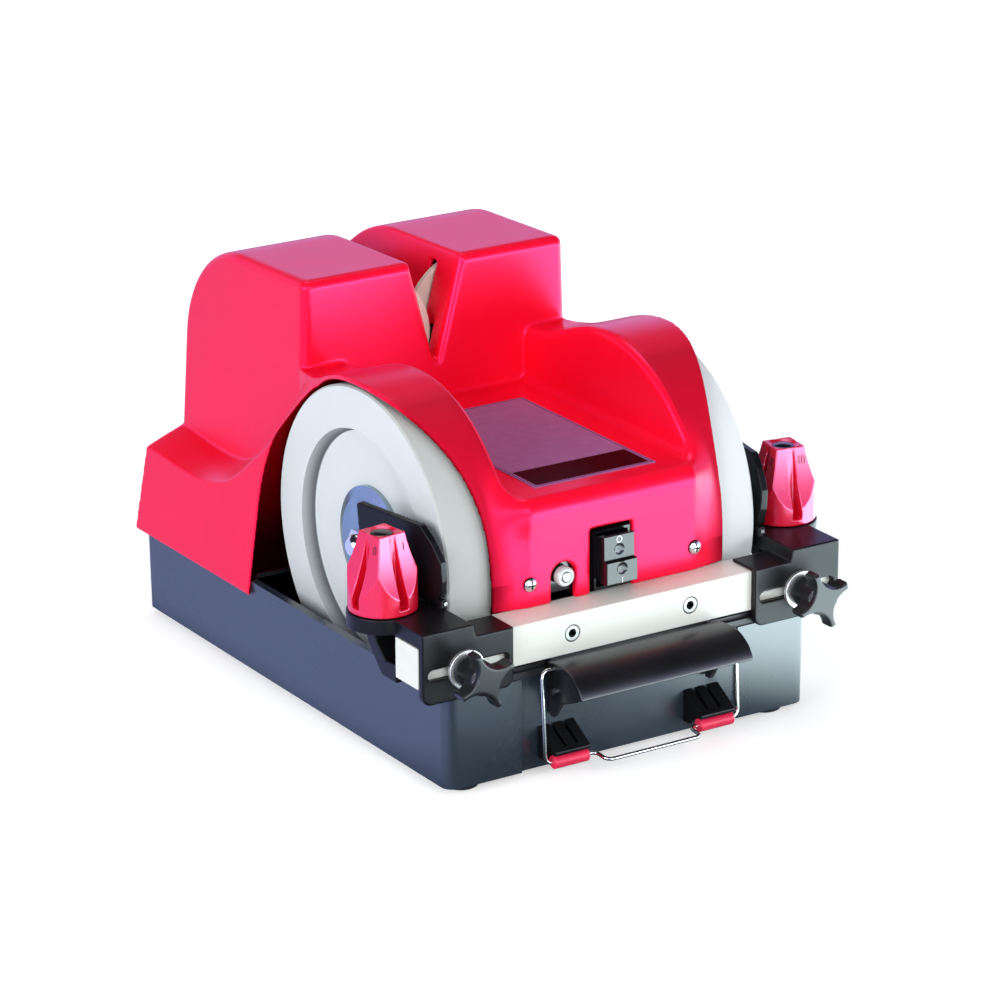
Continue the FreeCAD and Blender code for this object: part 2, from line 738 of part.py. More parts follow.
def flange_outer():
    base = WHEEL_FACE - WHEEL_DISH_DEPTH
    points = [(base, AXLE_STUD_R + RUN), (base, FLANGE_R), (base + 3.0, FLANGE_R),
              (base + 5.0, FLANGE_R - 6),
              (base + FLANGE_THICK, 15.0), (base + FLANGE_THICK, AXLE_STUD_R + RUN)]
    return revolve_x(points)


def flange_inner():
    # hub washer with the spigot that carries the bore of the wheel
    inner = WHEEL_FACE - WHEEL_WIDTH
    points = [(inner - 4.0, AXLE_STUD_R + RUN), (inner - 4.0, 34.0), (inner, 34.0),
              (inner, WHEEL_BORE_R - RUN), (inner + 20.0, WHEEL_BORE_R - RUN),
              (inner + 20.0, AXLE_STUD_R + RUN)]
    return revolve_x(points)


def hub_nut():
    start = WHEEL_FACE - WHEEL_DISH_DEPTH + FLANGE_THICK
    radius = 11.0
    points = []
    for step in range(6):
        turn = math.radians(60 * step)
        points.append((radius * math.cos(turn), radius * math.sin(turn)))
    nut = prism_x(points, start, start + 7.0)
    dome = Part.makeSphere(8.5, V(start + 5.0, Y(0), Z(0))).common(
        rod("x", 8.0, start + 6.5, start + 12, 0, 0))
    nut = nut.fuse(dome).removeSplitter()
    return one_solid(nut.cut(rod("x", AXLE_STUD_R + RUN, start - 1, start + 6.0, 0, 0)))


def main_axle():
    inner = WHEEL_FACE - WHEEL_WIDTH - 4.0
    end = WHEEL_FACE - WHEEL_DISH_DEPTH + FLANGE_THICK + 5.0
    return one_solid(joined([rod("x", AXLE_R, -inner, inner, 0, 0),
                             rod("x", AXLE_STUD_R, -end, end, 0, 0)]))


def gear_motor():
    # closed gearbox on the axle with the motor behind it
    box_half = 40.0
    gearbox = box(-box_half, box_half, -32, 32, -38, 38)
    gearbox = rounded(gearbox, 8.0, lambda e: spans(e, "x"))
    hub = rod("x", 22.0, -box_half - 9, box_half + 9, 0, 0)
    motor = rod("y", 38.0, 31, MOTOR_REAR, 0, MOTOR_Z)
    motor = rounded(motor, 4.0, lambda e: at(e.BoundBox.YMax, Y(MOTOR_REAR)) and e.Length > 100)
    parts = [gearbox, hub, motor]
    for y in (45.0, 110.0):
        parts.append(box(-34, 34, y, y + 10, PLATE_TOP, -20))
    for x in (-34.0, 22.0):
        parts.append(box(x, x + 12, -30, 30, PLATE_TOP, -30))
    body = joined(parts)
    for step in range(7):
        ring_y = 58.0 + step * 8.0
        ring = rod("y", 39.0, ring_y, ring_y + 3.0, 0, MOTOR_Z)
        ring = ring.cut(rod("y", 36.5, ring_y, ring_y + 3.0, 0, MOTOR_Z))
        body = body.cut(ring.common(box(-40, 40, 40, 130, MOTOR_Z + 2, 60)))
    body = body.cut(rod("x", AXLE_R + RUN, -60, 60, 0, 0))
    body = body.cut(rod("y", 4.0 + RUN, MOTOR_REAR - 12, MOTOR_REAR + 1, 0, MOTOR_Z))
    return one_solid(largest(body))


def turned_y(points, x, z):
    # outline of (y, radius) pairs turned about a line running front to rear
    wire = Part.makePolygon([V(x + r, Y(y), Z(z)) for y, r in points + points[:1]])
    return Part.Face(wire).revolve(V(x, Y(0), Z(z)), V(0, 1, 0), 360)


def pulley(radius, bore, x, y, z):
    half = BELT_WIDTH / 2 + 1.5
    lip = 2.5
    points = [(y - half, bore), (y - half, radius + lip), (y - half + 1, radius + lip),
              (y - half + 1, radius), (y + half - 1, radius), (y + half - 1, radius + lip),
              (y + half, radius + lip), (y + half, bore)]
    return turned_y(points, x, z)


def motor_pulley():
    shaft = rod("y", 4.0, MOTOR_REAR - 10, BELT_Y_RIGHT + 7, 0, MOTOR_Z)
    wheels = [pulley(MOTOR_PULLEY_R, 3.9, 0, y, MOTOR_Z) for y in (BELT_Y_LEFT, BELT_Y_RIGHT)]
    return one_solid(joined([shaft] + wheels))


def drive_belt(side):
    y = BELT_Y_LEFT if side < 0 else BELT_Y_RIGHT
    r0 = MOTOR_PULLEY_R + RUN
    r1 = HONE_PULLEY_R + RUN
    outer = belt_loop(r0 + BELT_THICK, side * DISC_X, r1 + BELT_THICK, y, BELT_WIDTH)
    return one_solid(outer.cut(belt_loop(r0, side * DISC_X, r1, y, BELT_WIDTH + 2)))


def belt_loop(r0, x1, r1, y, width):
    y0 = y - width / 2
    y1 = y + width / 2
    dx, dz = x1, DISC_Z - MOTOR_Z
    length = math.hypot(dx, dz)
    base = math.atan2(dz, dx)
    lean = math.acos((r0 - r1) / length)
    points = []
    for sign in (1, -1):
        turn = base + sign * lean
        points.append(((r0 * math.cos(turn), MOTOR_Z + r0 * math.sin(turn)),
                       (x1 + r1 * math.cos(turn), DISC_Z + r1 * math.sin(turn))))
    web = prism_y([points[0][0], points[0][1], (x1, DISC_Z), points[1][1], points[1][0], (0, MOTOR_Z)],
                  y0, y1)
    return joined([web, rod("y", r0, y0, y1, 0, MOTOR_Z), rod("y", r1, y0, y1, x1, DISC_Z)])


def honing_disc(side):
    x = side * DISC_X
    y = DISC_Y_LEFT if side < 0 else DISC_Y_RIGHT
    half = DISC_THICK / 2
    groove = 0.5
    points = [(y - half, HONE_SHAFT_R + RUN), (y - half, DISC_R - 0.8), (y - half + 0.8, DISC_R),
              (y - 0.9, DISC_R), (y - 0.9, DISC_R - groove), (y + 0.9, DISC_R - groove), (y + 0.9, DISC_R),
              (y + half - 0.8, DISC_R), (y + half, DISC_R - 0.8), (y + half, HONE_SHAFT_R + RUN)]
    return turned_y(points, x, DISC_Z)


def honing_shaft(side):
    x = side * DISC_X
    end = (BELT_Y_LEFT if side < 0 else BELT_Y_RIGHT) + 8
    points = [(104.5, 0), (104.5, HONE_SHAFT_R), (end, HONE_SHAFT_R), (end, 0)]
    shaft = turned_y(points, x, DISC_Z)
    disc_y = DISC_Y_LEFT if side < 0 else DISC_Y_RIGHT
    collar_front = rod("y", 11.0, disc_y + DISC_THICK / 2, disc_y + DISC_THICK / 2 + 3, x, DISC_Z)
    return one_solid(joined([shaft, collar_front]))


def honing_pulley(side):
    y = BELT_Y_LEFT if side < 0 else BELT_Y_RIGHT
    return one_solid(pulley(HONE_PULLEY_R, HONE_SHAFT_R + RUN, side * DISC_X, y, DISC_Z))


def honing_frame():
    # upright bearing plate on two legs, with a gap for the notch of the cover
    y0 = HONE_PLATE_Y - 3
    y1 = HONE_PLATE_Y + 3
    parts = [box(-62, 62, y0, y1, 46, 106)]
    for side in (-1, 1):
        parts.append(box(side * 52 - 10, side * 52 + 10, y0, y1, PLATE_TOP, 60))
        parts.append(box(side * 52 - 10, side * 52 + 10, HONE_PLATE_Y - 12, HONE_PLATE_Y + 12, PLATE_TOP,
                         PLATE_TOP + 5))
        parts.append(rod("y", 15.0, HONE_PLATE_Y - 6, y1, side * DISC_X, DISC_Z))
    frame = joined(parts)
    frame = frame.cut(prism_y([(-7, 66), (7, 66), (19, 110), (-19, 110)], y0 - 4, y1 + 4))
    for side in (-1, 1):
        frame = frame.cut(rod("y", HONE_SHAFT_R + RUN, 100, 170, side * DISC_X, DISC_Z))
    return one_solid(frame)


# Switch and reset button

def switch_body():
    y0 = COVER_FRONT + 0.8
    back = -74.0
    wide = ROCKER_HALF_W + BEZEL
    high = ROCKER_HALF_H + POCKET_GAP + BEZEL
    body = box(ROCKER_X - wide, ROCKER_X + wide, y0, back, ROCKER_Z - high, ROCKER_Z + high)
    pocket = box(ROCKER_X - ROCKER_HALF_W - 0.3, ROCKER_X + ROCKER_HALF_W + 0.3, y0 - 1, ROCKER_PIVOT_Y + 7,
                 ROCKER_Z - ROCKER_HALF_H - POCKET_GAP, ROCKER_Z + ROCKER_HALF_H + POCKET_GAP)
    body = body.cut(pocket)
    for side in (-1, 1):
        x = ROCKER_X + side * (ROCKER_HALF_W + 0.3)
        body = body.cut(rod("x", 1.5 + RUN, x - 1.2, x + 1.2, ROCKER_PIVOT_Y, ROCKER_Z))
    seat = BAR_REAR + SEAT
    flange = box(-27, 30, seat, seat + 3.0, ROCKER_Z - high, ROCKER_Z + high)
    flange = flange.cut(box(ROCKER_X - wide, ROCKER_X + wide, seat - 1, seat + 4, -40, 60))
    return one_solid(body.fuse(flange).removeSplitter())


def rocker():
    # the lower half stands proud of the upper one, each has a finger dimple, top end pressed in
    front = ROCKER_PIVOT_Y - ROCKER_REACH
    z0 = ROCKER_Z - ROCKER_HALF_H
    z1 = ROCKER_Z + ROCKER_HALF_H
    points = [(ROCKER_PIVOT_Y + 3, ROCKER_Z - 5), (front + 6.0, z0 + 0.6), (front - ROCKER_CROWN, z0),
              (front - ROCKER_STEP, ROCKER_Z - 1.0), (front, ROCKER_Z), (front - ROCKER_CROWN, z1),
              (front + 6.0, z1 - 0.6), (ROCKER_PIVOT_Y + 3, ROCKER_Z + 5)]
    body = prism_x(points, ROCKER_X - ROCKER_HALF_W, ROCKER_X + ROCKER_HALF_W)
    body = rounded(body, 0.6, lambda e: e.BoundBox.YMax < Y(front + 1)
                   and not at(e.CenterOfMass.y, Y(front)))
    pin = rod("x", 1.5, ROCKER_X - ROCKER_HALF_W - 1.3, ROCKER_X + ROCKER_HALF_W + 1.3, ROCKER_PIVOT_Y,
              ROCKER_Z)
    body = body.fuse(pin).removeSplitter()
    for y, z in ((front - 0.5, ROCKER_Z + 5.2), (front - 2.3, ROCKER_Z - 6.7)):
        body = body.cut(Part.makeSphere(DIMPLE_R, V(ROCKER_X, Y(y - DIMPLE_R + DIMPLE_DEPTH), Z(z))))
    body = one_solid(body)
    body.rotate(V(0, Y(ROCKER_PIVOT_Y), Z(ROCKER_Z)), V(1, 0, 0), -ROCKER_TILT)
    return body


def reset_collar():
    points = [(-112.6, 3.6), (-112.6, 5.4), (-111.6, 6.2), (-108.0, 6.2), (-108.0, 5.0), (-90.0, 5.0),
              (-90.0, 3.6)]
    collar = turned_y(points, RESET_X, RESET_Z)
    seat = BAR_REAR + SEAT
    holder = box(RESET_X - 11, RESET_X + 8.6, seat, seat + 2.4, RESET_Z - 11, RESET_Z + 11)
    holder = holder.cut(rod("y", 4.9, seat - 1, seat + 4, RESET_X, RESET_Z))
    return one_solid(joined([collar, holder]))


def reset_button():
    button = rod("y", 3.6 - RUN, -113.2, -92.0, RESET_X, RESET_Z)
    return rounded(button, 1.0, lambda e: at(e.BoundBox.YMin, Y(-113.2)) and e.Length > 10)


# Guide brackets; all pieces are drawn for the right side and mirrored for the left

def bracket():
    plate = box(BRACKET_IN, BRACKET_OUT, PLATE_FRONT, BAR_FRONT - SLIDE, PLATE_BOTTOM, TAB_TOP)
    plate = rounded(plate, 6.0, lambda e: spans(e, "y") and at(e.BoundBox.ZMin, Z(PLATE_BOTTOM)))
    tab = box(BRACKET_IN, BRACKET_OUT, PLATE_FRONT, TAB_REAR, BAR_TOP + SLIDE, TAB_TOP)
    low = BAR_TOP + SLIDE
    step = prism_y([(BLOCK_IN - 1.5, low), (BRACKET_OUT, low), (BRACKET_OUT, BLOCK_TOP_Z),
                    (BLOCK_IN, BLOCK_TOP_Z),
                    (BLOCK_IN - 1.5, TAB_TOP)], PLATE_FRONT, -62.0)
    boss = rod("z", BOSS_R, low, BLOCK_TOP_Z, KNOB_X, KNOB_Y)
    leg = prism_x([(-68, low + 0.01), (-72, -31), (-87.5, -47.5), (-104.7, -47.5), (-104.7, -36),
                   (-93, -37),
                   (-81, -27), (-81, low + 0.01)], BRACKET_OUT - 22, BRACKET_OUT)
    body = joined([plate, tab, step, boss, leg])
    corner = box(BLOCK_IN - 5, BLOCK_IN + 12, -57.5, -40, -40, 0)
    body = body.cut(corner)
    slot_x = CLAMP_X - 2.2
    slot = joined([box(slot_x - SLOT_HALF, slot_x + SLOT_HALF, -140, -125, SLOT_Z - SLOT_R,
                       SLOT_Z + SLOT_R),
                   rod("y", SLOT_R, -140, -125, slot_x - SLOT_HALF, SLOT_Z),
                   rod("y", SLOT_R, -140, -125, slot_x + SLOT_HALF, SLOT_Z)])
    body = body.cut(slot)
    body = body.cut(rod("z", 4.0 + RUN, SPINDLE_END - 1.5, 0, KNOB_X, KNOB_Y))
    body = body.cut(rod("z", 7.5, SPINDLE_END - 1.5, low, KNOB_X, KNOB_Y))
    for lug in guide_lugs():
        body = body.fuse(lug)
    return one_solid(largest(body))


def yawed(shape):
    # turn about the upright line through the front foot of the guide plate
    shape.rotate(V(GUIDE_OUTER - GUIDE_THICK / 2, Y(GUIDE_FRONT_FOOT), 0), V(0, 0, 1), -GUIDE_YAW)
    return shape


def guide_axis_x():
    return GUIDE_OUTER - GUIDE_THICK / 2


def guide_lugs():
    x = guide_axis_x()
    lugs = []
    for y0, y1 in ((GUIDE_FRONT_FOOT - 4.5, GUIDE_FRONT_FOOT - 0.4),
                   (GUIDE_REAR_FOOT + 0.4, GUIDE_REAR_FOOT + 4.5)):
        lug = joined([box(x - 2.6, x + 2.6, y0, y1, BLOCK_TOP_Z - 1.5, GUIDE_AXIS_Z),
                      rod("y", 2.6, y0, y1, x, GUIDE_AXIS_Z)])
        lug = lug.cut(rod("y", GUIDE_PIN_R, y0 - 1, y1 + 1, x, GUIDE_AXIS_Z))
        lugs.append(yawed(lug))
    return lugs


def guide_pin():
    x = guide_axis_x()
    return yawed(rod("y", GUIDE_PIN_R, GUIDE_FRONT_FOOT - 5.5, GUIDE_REAR_FOOT + 4.5, x, GUIDE_AXIS_Z))


def guide_plate(lean):
    x = guide_axis_x()
    half = GUIDE_THICK / 2
    blade = prism_x([(GUIDE_FRONT_FOOT, GUIDE_AXIS_Z), (GUIDE_FRONT_FOOT, -2.0), (-101.5, -0.5),
                     (-104.0, 9.5),
                     (-104.2, 22.0), (-96.3, 34.0), (GUIDE_FRONT_TOP, GUIDE_TOP),
                     (GUIDE_REAR_TOP, GUIDE_TOP),
                     (GUIDE_REAR_TOP, 18.0), (GUIDE_REAR_FOOT, 4.0), (GUIDE_REAR_FOOT, GUIDE_AXIS_Z)],
                    x - half, x + half)
    blade = rounded(blade, 2.0, lambda e: spans(e, "x") and e.BoundBox.ZMin > Z(30))
    barrel = rod("y", half, GUIDE_FRONT_FOOT, GUIDE_REAR_FOOT, x, GUIDE_AXIS_Z)
    body = joined([blade, barrel])
    body = body.cut(rod("y", GUIDE_PIN_R + RUN, GUIDE_FRONT_FOOT - 5, GUIDE_REAR_FOOT + 5, x, GUIDE_AXIS_Z))
    body = one_solid(body)
    body.rotate(V(x, Y(0), Z(GUIDE_AXIS_Z)), V(0, 1, 0), lean)
    return yawed(body)


def knob_facet():
    # cutter for one facet: a shallow arc from the round foot up to the square top
    y0 = Y(KNOB_Y - 30)
    low = V(KNOB_X + KNOB_R, y0, Z(KNOB_FACET_END))
    waist = V(KNOB_X + KNOB_R / math.sqrt(2), y0, Z(KNOB_WAIST))
    high = V(KNOB_X + KNOB_TOP_HALF, y0, Z(KNOB_TOP))
    above = V(high.x, y0, high.z + 4)
    far_high = V(KNOB_X + 40, y0, above.z)
    far_low = V(far_high.x, y0, low.z)
    wire = Part.Wire([Part.Arc(low, waist, high).toShape(), Part.makeLine(high, above),
                      Part.makeLine(above, far_high), Part.makeLine(far_high, far_low),
                      Part.makeLine(far_low, low)])
    return Part.Face(wire).extrude(V(0, 60, 0))


def adjust_knob():
    # round foot, four hollow facets up to a square top, a deep groove down each facet, a dished top
    body = rod("z", KNOB_R, KNOB_BASE, KNOB_TOP, KNOB_X, KNOB_Y)
    groove_end = KNOB_TOP + 4
    low, high = KNOB_GROOVE_LOW / 2, KNOB_GROOVE_HIGH / 2
    groove_outline = [(KNOB_Y - low, KNOB_LEDGE), (KNOB_Y + low, KNOB_LEDGE),
                      (KNOB_Y + high, groove_end), (KNOB_Y - high, groove_end)]
    for step in range(4):
        groove = prism_x(groove_outline, KNOB_X + KNOB_GROOVE_D, KNOB_X + 40)
        for tool in (knob_facet(), groove):
            tool.rotate(V(KNOB_X, Y(KNOB_Y), 0), V(0, 0, 1), 90 * step)
            body = body.cut(tool)
    dish = Part.makeCone(CAP_R, KNOB_TOP_HALF, CAP_SUNK, V(KNOB_X, Y(KNOB_Y), Z(KNOB_TOP - CAP_SUNK)),
                         V(0, 0, 1))
    body = body.cut(dish)
    body = body.cut(rod("z", CAP_R + SEAT, KNOB_TOP - CAP_SUNK - 3.0, KNOB_TOP + 1, KNOB_X, KNOB_Y))
    body = body.cut(rod("z", 4.0 + SEAT, KNOB_BASE - 1, KNOB_TOP - 8, KNOB_X, KNOB_Y))
    return one_solid(body)


def knob_cap():
    base = KNOB_TOP - CAP_SUNK
    disc = rod("z", CAP_R, base - 2.9, base + 0.4, KNOB_X, KNOB_Y)
    dome = Part.makeSphere(20.0, V(KNOB_X, Y(KNOB_Y), Z(base + 1.3 - 20.0)))
    dome = dome.common(rod("z", CAP_R, base + 0.1, base + 3, KNOB_X, KNOB_Y))
    return one_solid(joined([disc, dome]))


def adjust_spindle():
    pin = rod("z", 4.0, SPINDLE_END, KNOB_TOP - 8.1, KNOB_X, KNOB_Y)
    ring = rod("z", 6.5, SPINDLE_END + 1.4, BAR_TOP + SLIDE - 0.3, KNOB_X, KNOB_Y)
    return one_solid(joined([pin, ring]))


# Star knobs

def star_knob(turn):
    body = rod("y", STAR_R, STAR_FRONT, STAR_FRONT + STAR_THICK, CLAMP_X, SLOT_Z)
    for step in range(4):
        angle = math.radians(turn + 45 + 90 * step)
        cx = CLAMP_X + STAR_CUT_D * math.cos(angle)
        cz = SLOT_Z + STAR_CUT_D * math.sin(angle)
        body = body.cut(rod("y", STAR_CUT_R, STAR_FRONT - 1, STAR_FRONT + STAR_THICK + 1, cx, cz))
    body = rounded(body, 2.2, lambda e: e.BoundBox.YLength < 1e-6)
    hub_end = PLATE_FRONT - WASHER_THICK - 0.3
    hub = rod("y", STAR_HUB_R, STAR_FRONT + 4, hub_end, CLAMP_X, SLOT_Z)
    body = joined([body, hub])
    return one_solid(body.cut(rod("y", CLAMP_SCREW_R, STAR_FRONT + 6, hub_end + 1, CLAMP_X, SLOT_Z)))


def clamp_screw():
    return rod("y", CLAMP_SCREW_R, STAR_FRONT + 6, BAR_FRONT + 15.0, CLAMP_X, SLOT_Z)


def clamp_washer():
    y1 = PLATE_FRONT - SLIDE
    ring = rod("y", WASHER_R, y1 - WASHER_THICK, y1, CLAMP_X, SLOT_Z)
    ring = rounded(ring, 0.5, lambda e: at(e.BoundBox.YMin, Y(y1 - WASHER_THICK)) and e.Length > 20)
    return ring.cut(rod("y", CLAMP_SCREW_R + RUN, y1 - 5, y1 + 1, CLAMP_X, SLOT_Z))


# Latch

def latch_bracket():
    parts = [box(-58.5, 58.5, -128.5, -106.5, BAR_BOTTOM - 3.0, BAR_BOTTOM)]
    ear = prism_x([(-123, BAR_BOTTOM - 3), (-123, BAR_BOTTOM), (-129.2, BAR_BOTTOM), (-131.2, -47.4),
                   (-136, -51.5),
                   (-141, -53), (-146, -56), (-147, -62), (-142, -66.5), (-133, -80), (-129.0, -80),
                   (-128.0, -76), (-128.0, -52.6), (-124.5, -50), (-123, -48)], 55.5, 58.5)
    parts += [ear, mirrored(ear)]
    body = joined(parts)
    return one_solid(body.cut(rod("x", PIVOT_R, -80, 80, PIVOT_Y, PIVOT_Z)))


def latch_pin():
    return rod("x", PIVOT_R, -64.0, 64.0, PIVOT_Y, PIVOT_Z)


def latch_lever():
    thick = 2.6
    top = Part.BSplineCurve()
    top.interpolate([V(0, Y(y), Z(z)) for y, z in
                     ((-131.6, -43.8), (-141.0, -42.4), (-152.0, -42.9), (-161.0, -46.6),
                      (-166.5, -51.4), (-169.5, -57.0))])
    low = Part.BSplineCurve()
    low.interpolate([V(0, Y(y), Z(z)) for y, z in
                     ((-167.2, -58.2), (-164.4, -53.2), (-159.4, -48.9), (-151.4, -45.6),
                      (-141.2, -45.1), (-131.9, -46.4))])
    wire = Part.Wire([top.toShape(), Part.makeLine(V(0, Y(-169.5), Z(-57.0)), V(0, Y(-167.2), Z(-58.2))),
                      low.toShape(), Part.makeLine(V(0, Y(-131.9), Z(-46.4)), V(0, Y(-131.6), Z(-43.8)))])
    visor = across(wire, LEVER_HALF)
    cheek = prism_x([(-132, -45), (-152, -44.5), (-161, -48.5), (-166.5, -56.5), (-163, -60), (-150, -65.5),
                     (-140, -66), (-134, -61), (-132, -52)], LEVER_HALF - 2.5, LEVER_HALF)
    parts = [visor, cheek, mirrored(cheek)]
    body = joined(parts)
    body = body.cut(rod("x", PIVOT_R + RUN, -80, 80, PIVOT_Y, PIVOT_Z))
    body = body.cut(rod("x", WIRE_R + RUN, -80, 80, BAIL_Y, BAIL_Z))
    return one_solid(body)


def bail_path():
    half = [V(LEVER_HALF - 3.2, Y(BAIL_Y), Z(BAIL_Z)), V(LEG_X, Y(BAIL_Y), Z(BAIL_Z)),
            V(LEG_X, Y(SLEEVE_Y), Z(SLEEVE_Z)),
            V(LOOP_X, Y(SLEEVE_Y), Z(SLEEVE_Z)), V(LOOP_X, Y(LOOP_Y), Z(SLEEVE_Z - 1.0))]
    other = [V(-p.x, p.y, p.z) for p in reversed(half)]
    return half + other


def bent_wire(points, bend, radius):
    # straight runs joined by arcs, swept with a round section
    edges = []
    previous = points[0]
    for index in range(1, len(points) - 1):
        corner = points[index]
        a = (points[index - 1] - corner).normalize()
        b = (points[index + 1] - corner).normalize()
        half_angle = a.getAngle(b) / 2
        back = bend / math.tan(half_angle)
        p0 = corner + a * back
        p1 = corner + b * back
        middle = (a + b).normalize()
        tip = corner + middle * (bend / math.sin(half_angle) - bend)
        edges.append(Part.makeLine(previous, p0))
        edges.append(Part.Arc(p0, tip, p1).toShape())
        previous = p1
    edges.append(Part.makeLine(previous, points[-1]))
    path = Part.Wire(edges)
    start = points[0]
    direction = points[1] - points[0]
    ring = Part.Wire([Part.Circle(start, direction, radius).toShape()])
    return path.makePipeShell([ring], True, False)


def wire_bail():
    return one_solid(bent_wire(bail_path(), 4.5, WIRE_R))


def bail_sleeves():
    sleeve = rod("x", SLEEVE_R, SLEEVE_IN, SLEEVE_OUT, SLEEVE_Y, SLEEVE_Z)
    sleeve = sleeve.cut(rod("x", WIRE_R + SEAT, SLEEVE_IN - 1, SLEEVE_OUT + 1, SLEEVE_Y, SLEEVE_Z))
    sleeve = rounded(sleeve, 0.6, lambda e: e.BoundBox.XLength < 1e-6 and e.Length > 20)
    return both(sleeve)


def latch_keepers():
    wall = TUB_FRONT + PANEL_DEPTH
    lip = wall - KEEPER_REACH
    side = [(wall, KEEPER_TOP), (lip, KEEPER_LIP), (lip, -99.6), (lip + 8.5, -99.4),
            (lip + 10, -103.5), (lip + 12, -106.5), (wall, -106.5)]
    keeper = prism_x(side, KEEPER_IN, KEEPER_OUT)
    # two slits split the sloping top into three ribs that meet in the front lip
    slit_side = [(wall + 1, KEEPER_TOP - SLIT_DEPTH), (lip + 3.5, KEEPER_LIP - 1.0),
                 (lip + 3.5, KEEPER_TOP),
                 (wall + 1, KEEPER_TOP + 2)]
    for start, end in KEEPER_SLITS:
        keeper = keeper.cut(prism_x(slit_side, KEEPER_IN + start, KEEPER_IN + end))
    return both(one_solid(keeper))


def cable_inlet():
    # threaded gland with its inside nut, drawn without a cable
    wall_in = INLET_PAD_IN - SEAT
    wall_out = INLET_PAD_OUT + SEAT
    bore = 4.0
    points = [(wall_in - 8, bore), (wall_in - 8, INLET_R), (wall_in - 5, INLET_R), (wall_in - 5, 12.0),
              (wall_in, 12.0),
              (wall_in, INLET_R), (wall_out, INLET_R), (wall_out, 12.5), (wall_out + 2.5, 12.5),
              (wall_out + 3.0, 10.5), (wall_out + 6.0, 8.0), (wall_out + 6.0, bore)]
    return turned_y(points, INLET_X, INLET_Z)


def place(shape, side):
    if side < 0:
        return mirrored(shape)
    return shape


def turned_knob(shape, side):
    shape = place(shape, side)
    turn = TURN_LEFT if side < 0 else TURN_RIGHT
    shape.rotate(V(side * KNOB_X, Y(KNOB_Y), 0), V(0, 0, 1), turn)
    return shape


def build():
    nodes = {
        "water_tub": water_tub(),
        "rubber_feet": rubber_feet(),
        "latch_keepers": latch_keepers(),
        "chassis": chassis(),
        "top_cover": top_cover(),
        "data_plate": data_plate(),
        "cross_bar": cross_bar(),
        "bar_screws": bar_screws(),
        "cover_screws": cover_screws(),
        "gear_motor": gear_motor(),
        "motor_pulley": motor_pulley(),
        "honing_frame": honing_frame(),
        "switch_body": switch_body(),
        "switch_rocker": rocker(),
        "reset_collar": reset_collar(),
        "reset_button": reset_button(),
        "cable_inlet": cable_inlet(),
        "main_axle": main_axle(),
        "wheel_flanges_outer": both(flange_outer()),
        "wheel_flanges_inner": both(flange_inner()),
        "hub_nuts": both(hub_nut()),
        "latch_bracket": latch_bracket(),
        "latch_pin": latch_pin(),
        "latch_lever": latch_lever(),
        "wire_bail": wire_bail(),
        "bail_sleeves": bail_sleeves(),
    }
    for side, name in ((-1, "left"), (1, "right")):
        nodes["wheel_" + name] = place(wheel(), side)
        nodes["honing_disc_" + name] = honing_disc(side)
        nodes["honing_shaft_" + name] = honing_shaft(side)
        nodes["honing_pulley_" + name] = honing_pulley(side)
        nodes["drive_belt_" + name] = drive_belt(side)
        nodes["bracket_" + name] = place(bracket(), side)
        nodes["guide_plate_" + name] = place(guide_plate(LEAN_LEFT if side < 0 else LEAN_RIGHT), side)
        nodes["guide_pin_" + name] = place(guide_pin(), side)
        nodes["adjust_knob_" + name] = turned_knob(adjust_knob(), side)
        nodes["knob_cap_" + name] = place(knob_cap(), side)
        nodes["adjust_spindle_" + name] = place(adjust_spindle(), side)
        nodes["star_knob_" + name] = place(star_knob(67.0 if side < 0 else 21.0), side)
        nodes["clamp_screw_" + name] = place(clamp_screw(), side)
        nodes["clamp_washer_" + name] = place(clamp_washer(), side)
    os.makedirs("parts", exist_ok=True)
    for name, shape in nodes.items():
        shape.exportStep(os.path.join("parts", name + ".step"))
    return nodes


nodes = build()
for name, shape in sorted(nodes.items()):
    print(name, "solids", len(shape.Solids), "valid", shape.isValid(), "volume",
          round(shape.Volume / 1000.0, 1))
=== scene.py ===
import json
import math

import bmesh
import bpy
from mathutils import Matrix, Vector
from mathutils.bvhtree import BVHTree


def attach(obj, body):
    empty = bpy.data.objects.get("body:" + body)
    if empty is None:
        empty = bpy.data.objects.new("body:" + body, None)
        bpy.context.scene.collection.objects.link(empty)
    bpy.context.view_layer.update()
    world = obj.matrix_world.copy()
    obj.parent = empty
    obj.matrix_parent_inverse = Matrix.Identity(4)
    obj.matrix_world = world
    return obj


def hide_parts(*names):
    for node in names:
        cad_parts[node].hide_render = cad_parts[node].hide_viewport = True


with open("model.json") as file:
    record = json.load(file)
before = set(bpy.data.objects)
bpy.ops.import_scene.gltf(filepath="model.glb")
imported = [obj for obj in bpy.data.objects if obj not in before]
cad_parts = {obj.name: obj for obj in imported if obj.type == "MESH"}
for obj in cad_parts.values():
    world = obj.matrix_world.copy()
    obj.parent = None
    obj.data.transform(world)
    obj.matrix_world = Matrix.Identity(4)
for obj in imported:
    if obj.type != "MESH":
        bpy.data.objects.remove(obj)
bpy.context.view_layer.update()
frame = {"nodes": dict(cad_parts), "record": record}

NODES = frame["nodes"]
SIDES = ("left", "right")
MM = 0.001

# Places of the model, in millimetres
AXLE_Y = -44.9
AXLE_Z = 118.5
KNOB_X = 146.4
KNOB_Y = -126.5
ROCKER_X = -0.5
RESET_X = -36.0
RESET_Z = 117.1
COLLAR_REAR = -151.6
TUB_FRONT = -174.4
TUB_HALF = 131.5

# Left wheel, painted shade on the tread and on the wall of the dish: radii where the tread starts and of the dish,
# widths of the edges between the tones
TREAD_R = 99.0
TREAD_EDGE = 0.3
DISH_FLOOR_R = 70.0
DISH_RIM_R = 73.0
DISH_EDGE = 0.4
DISH_MARGIN = 0.1
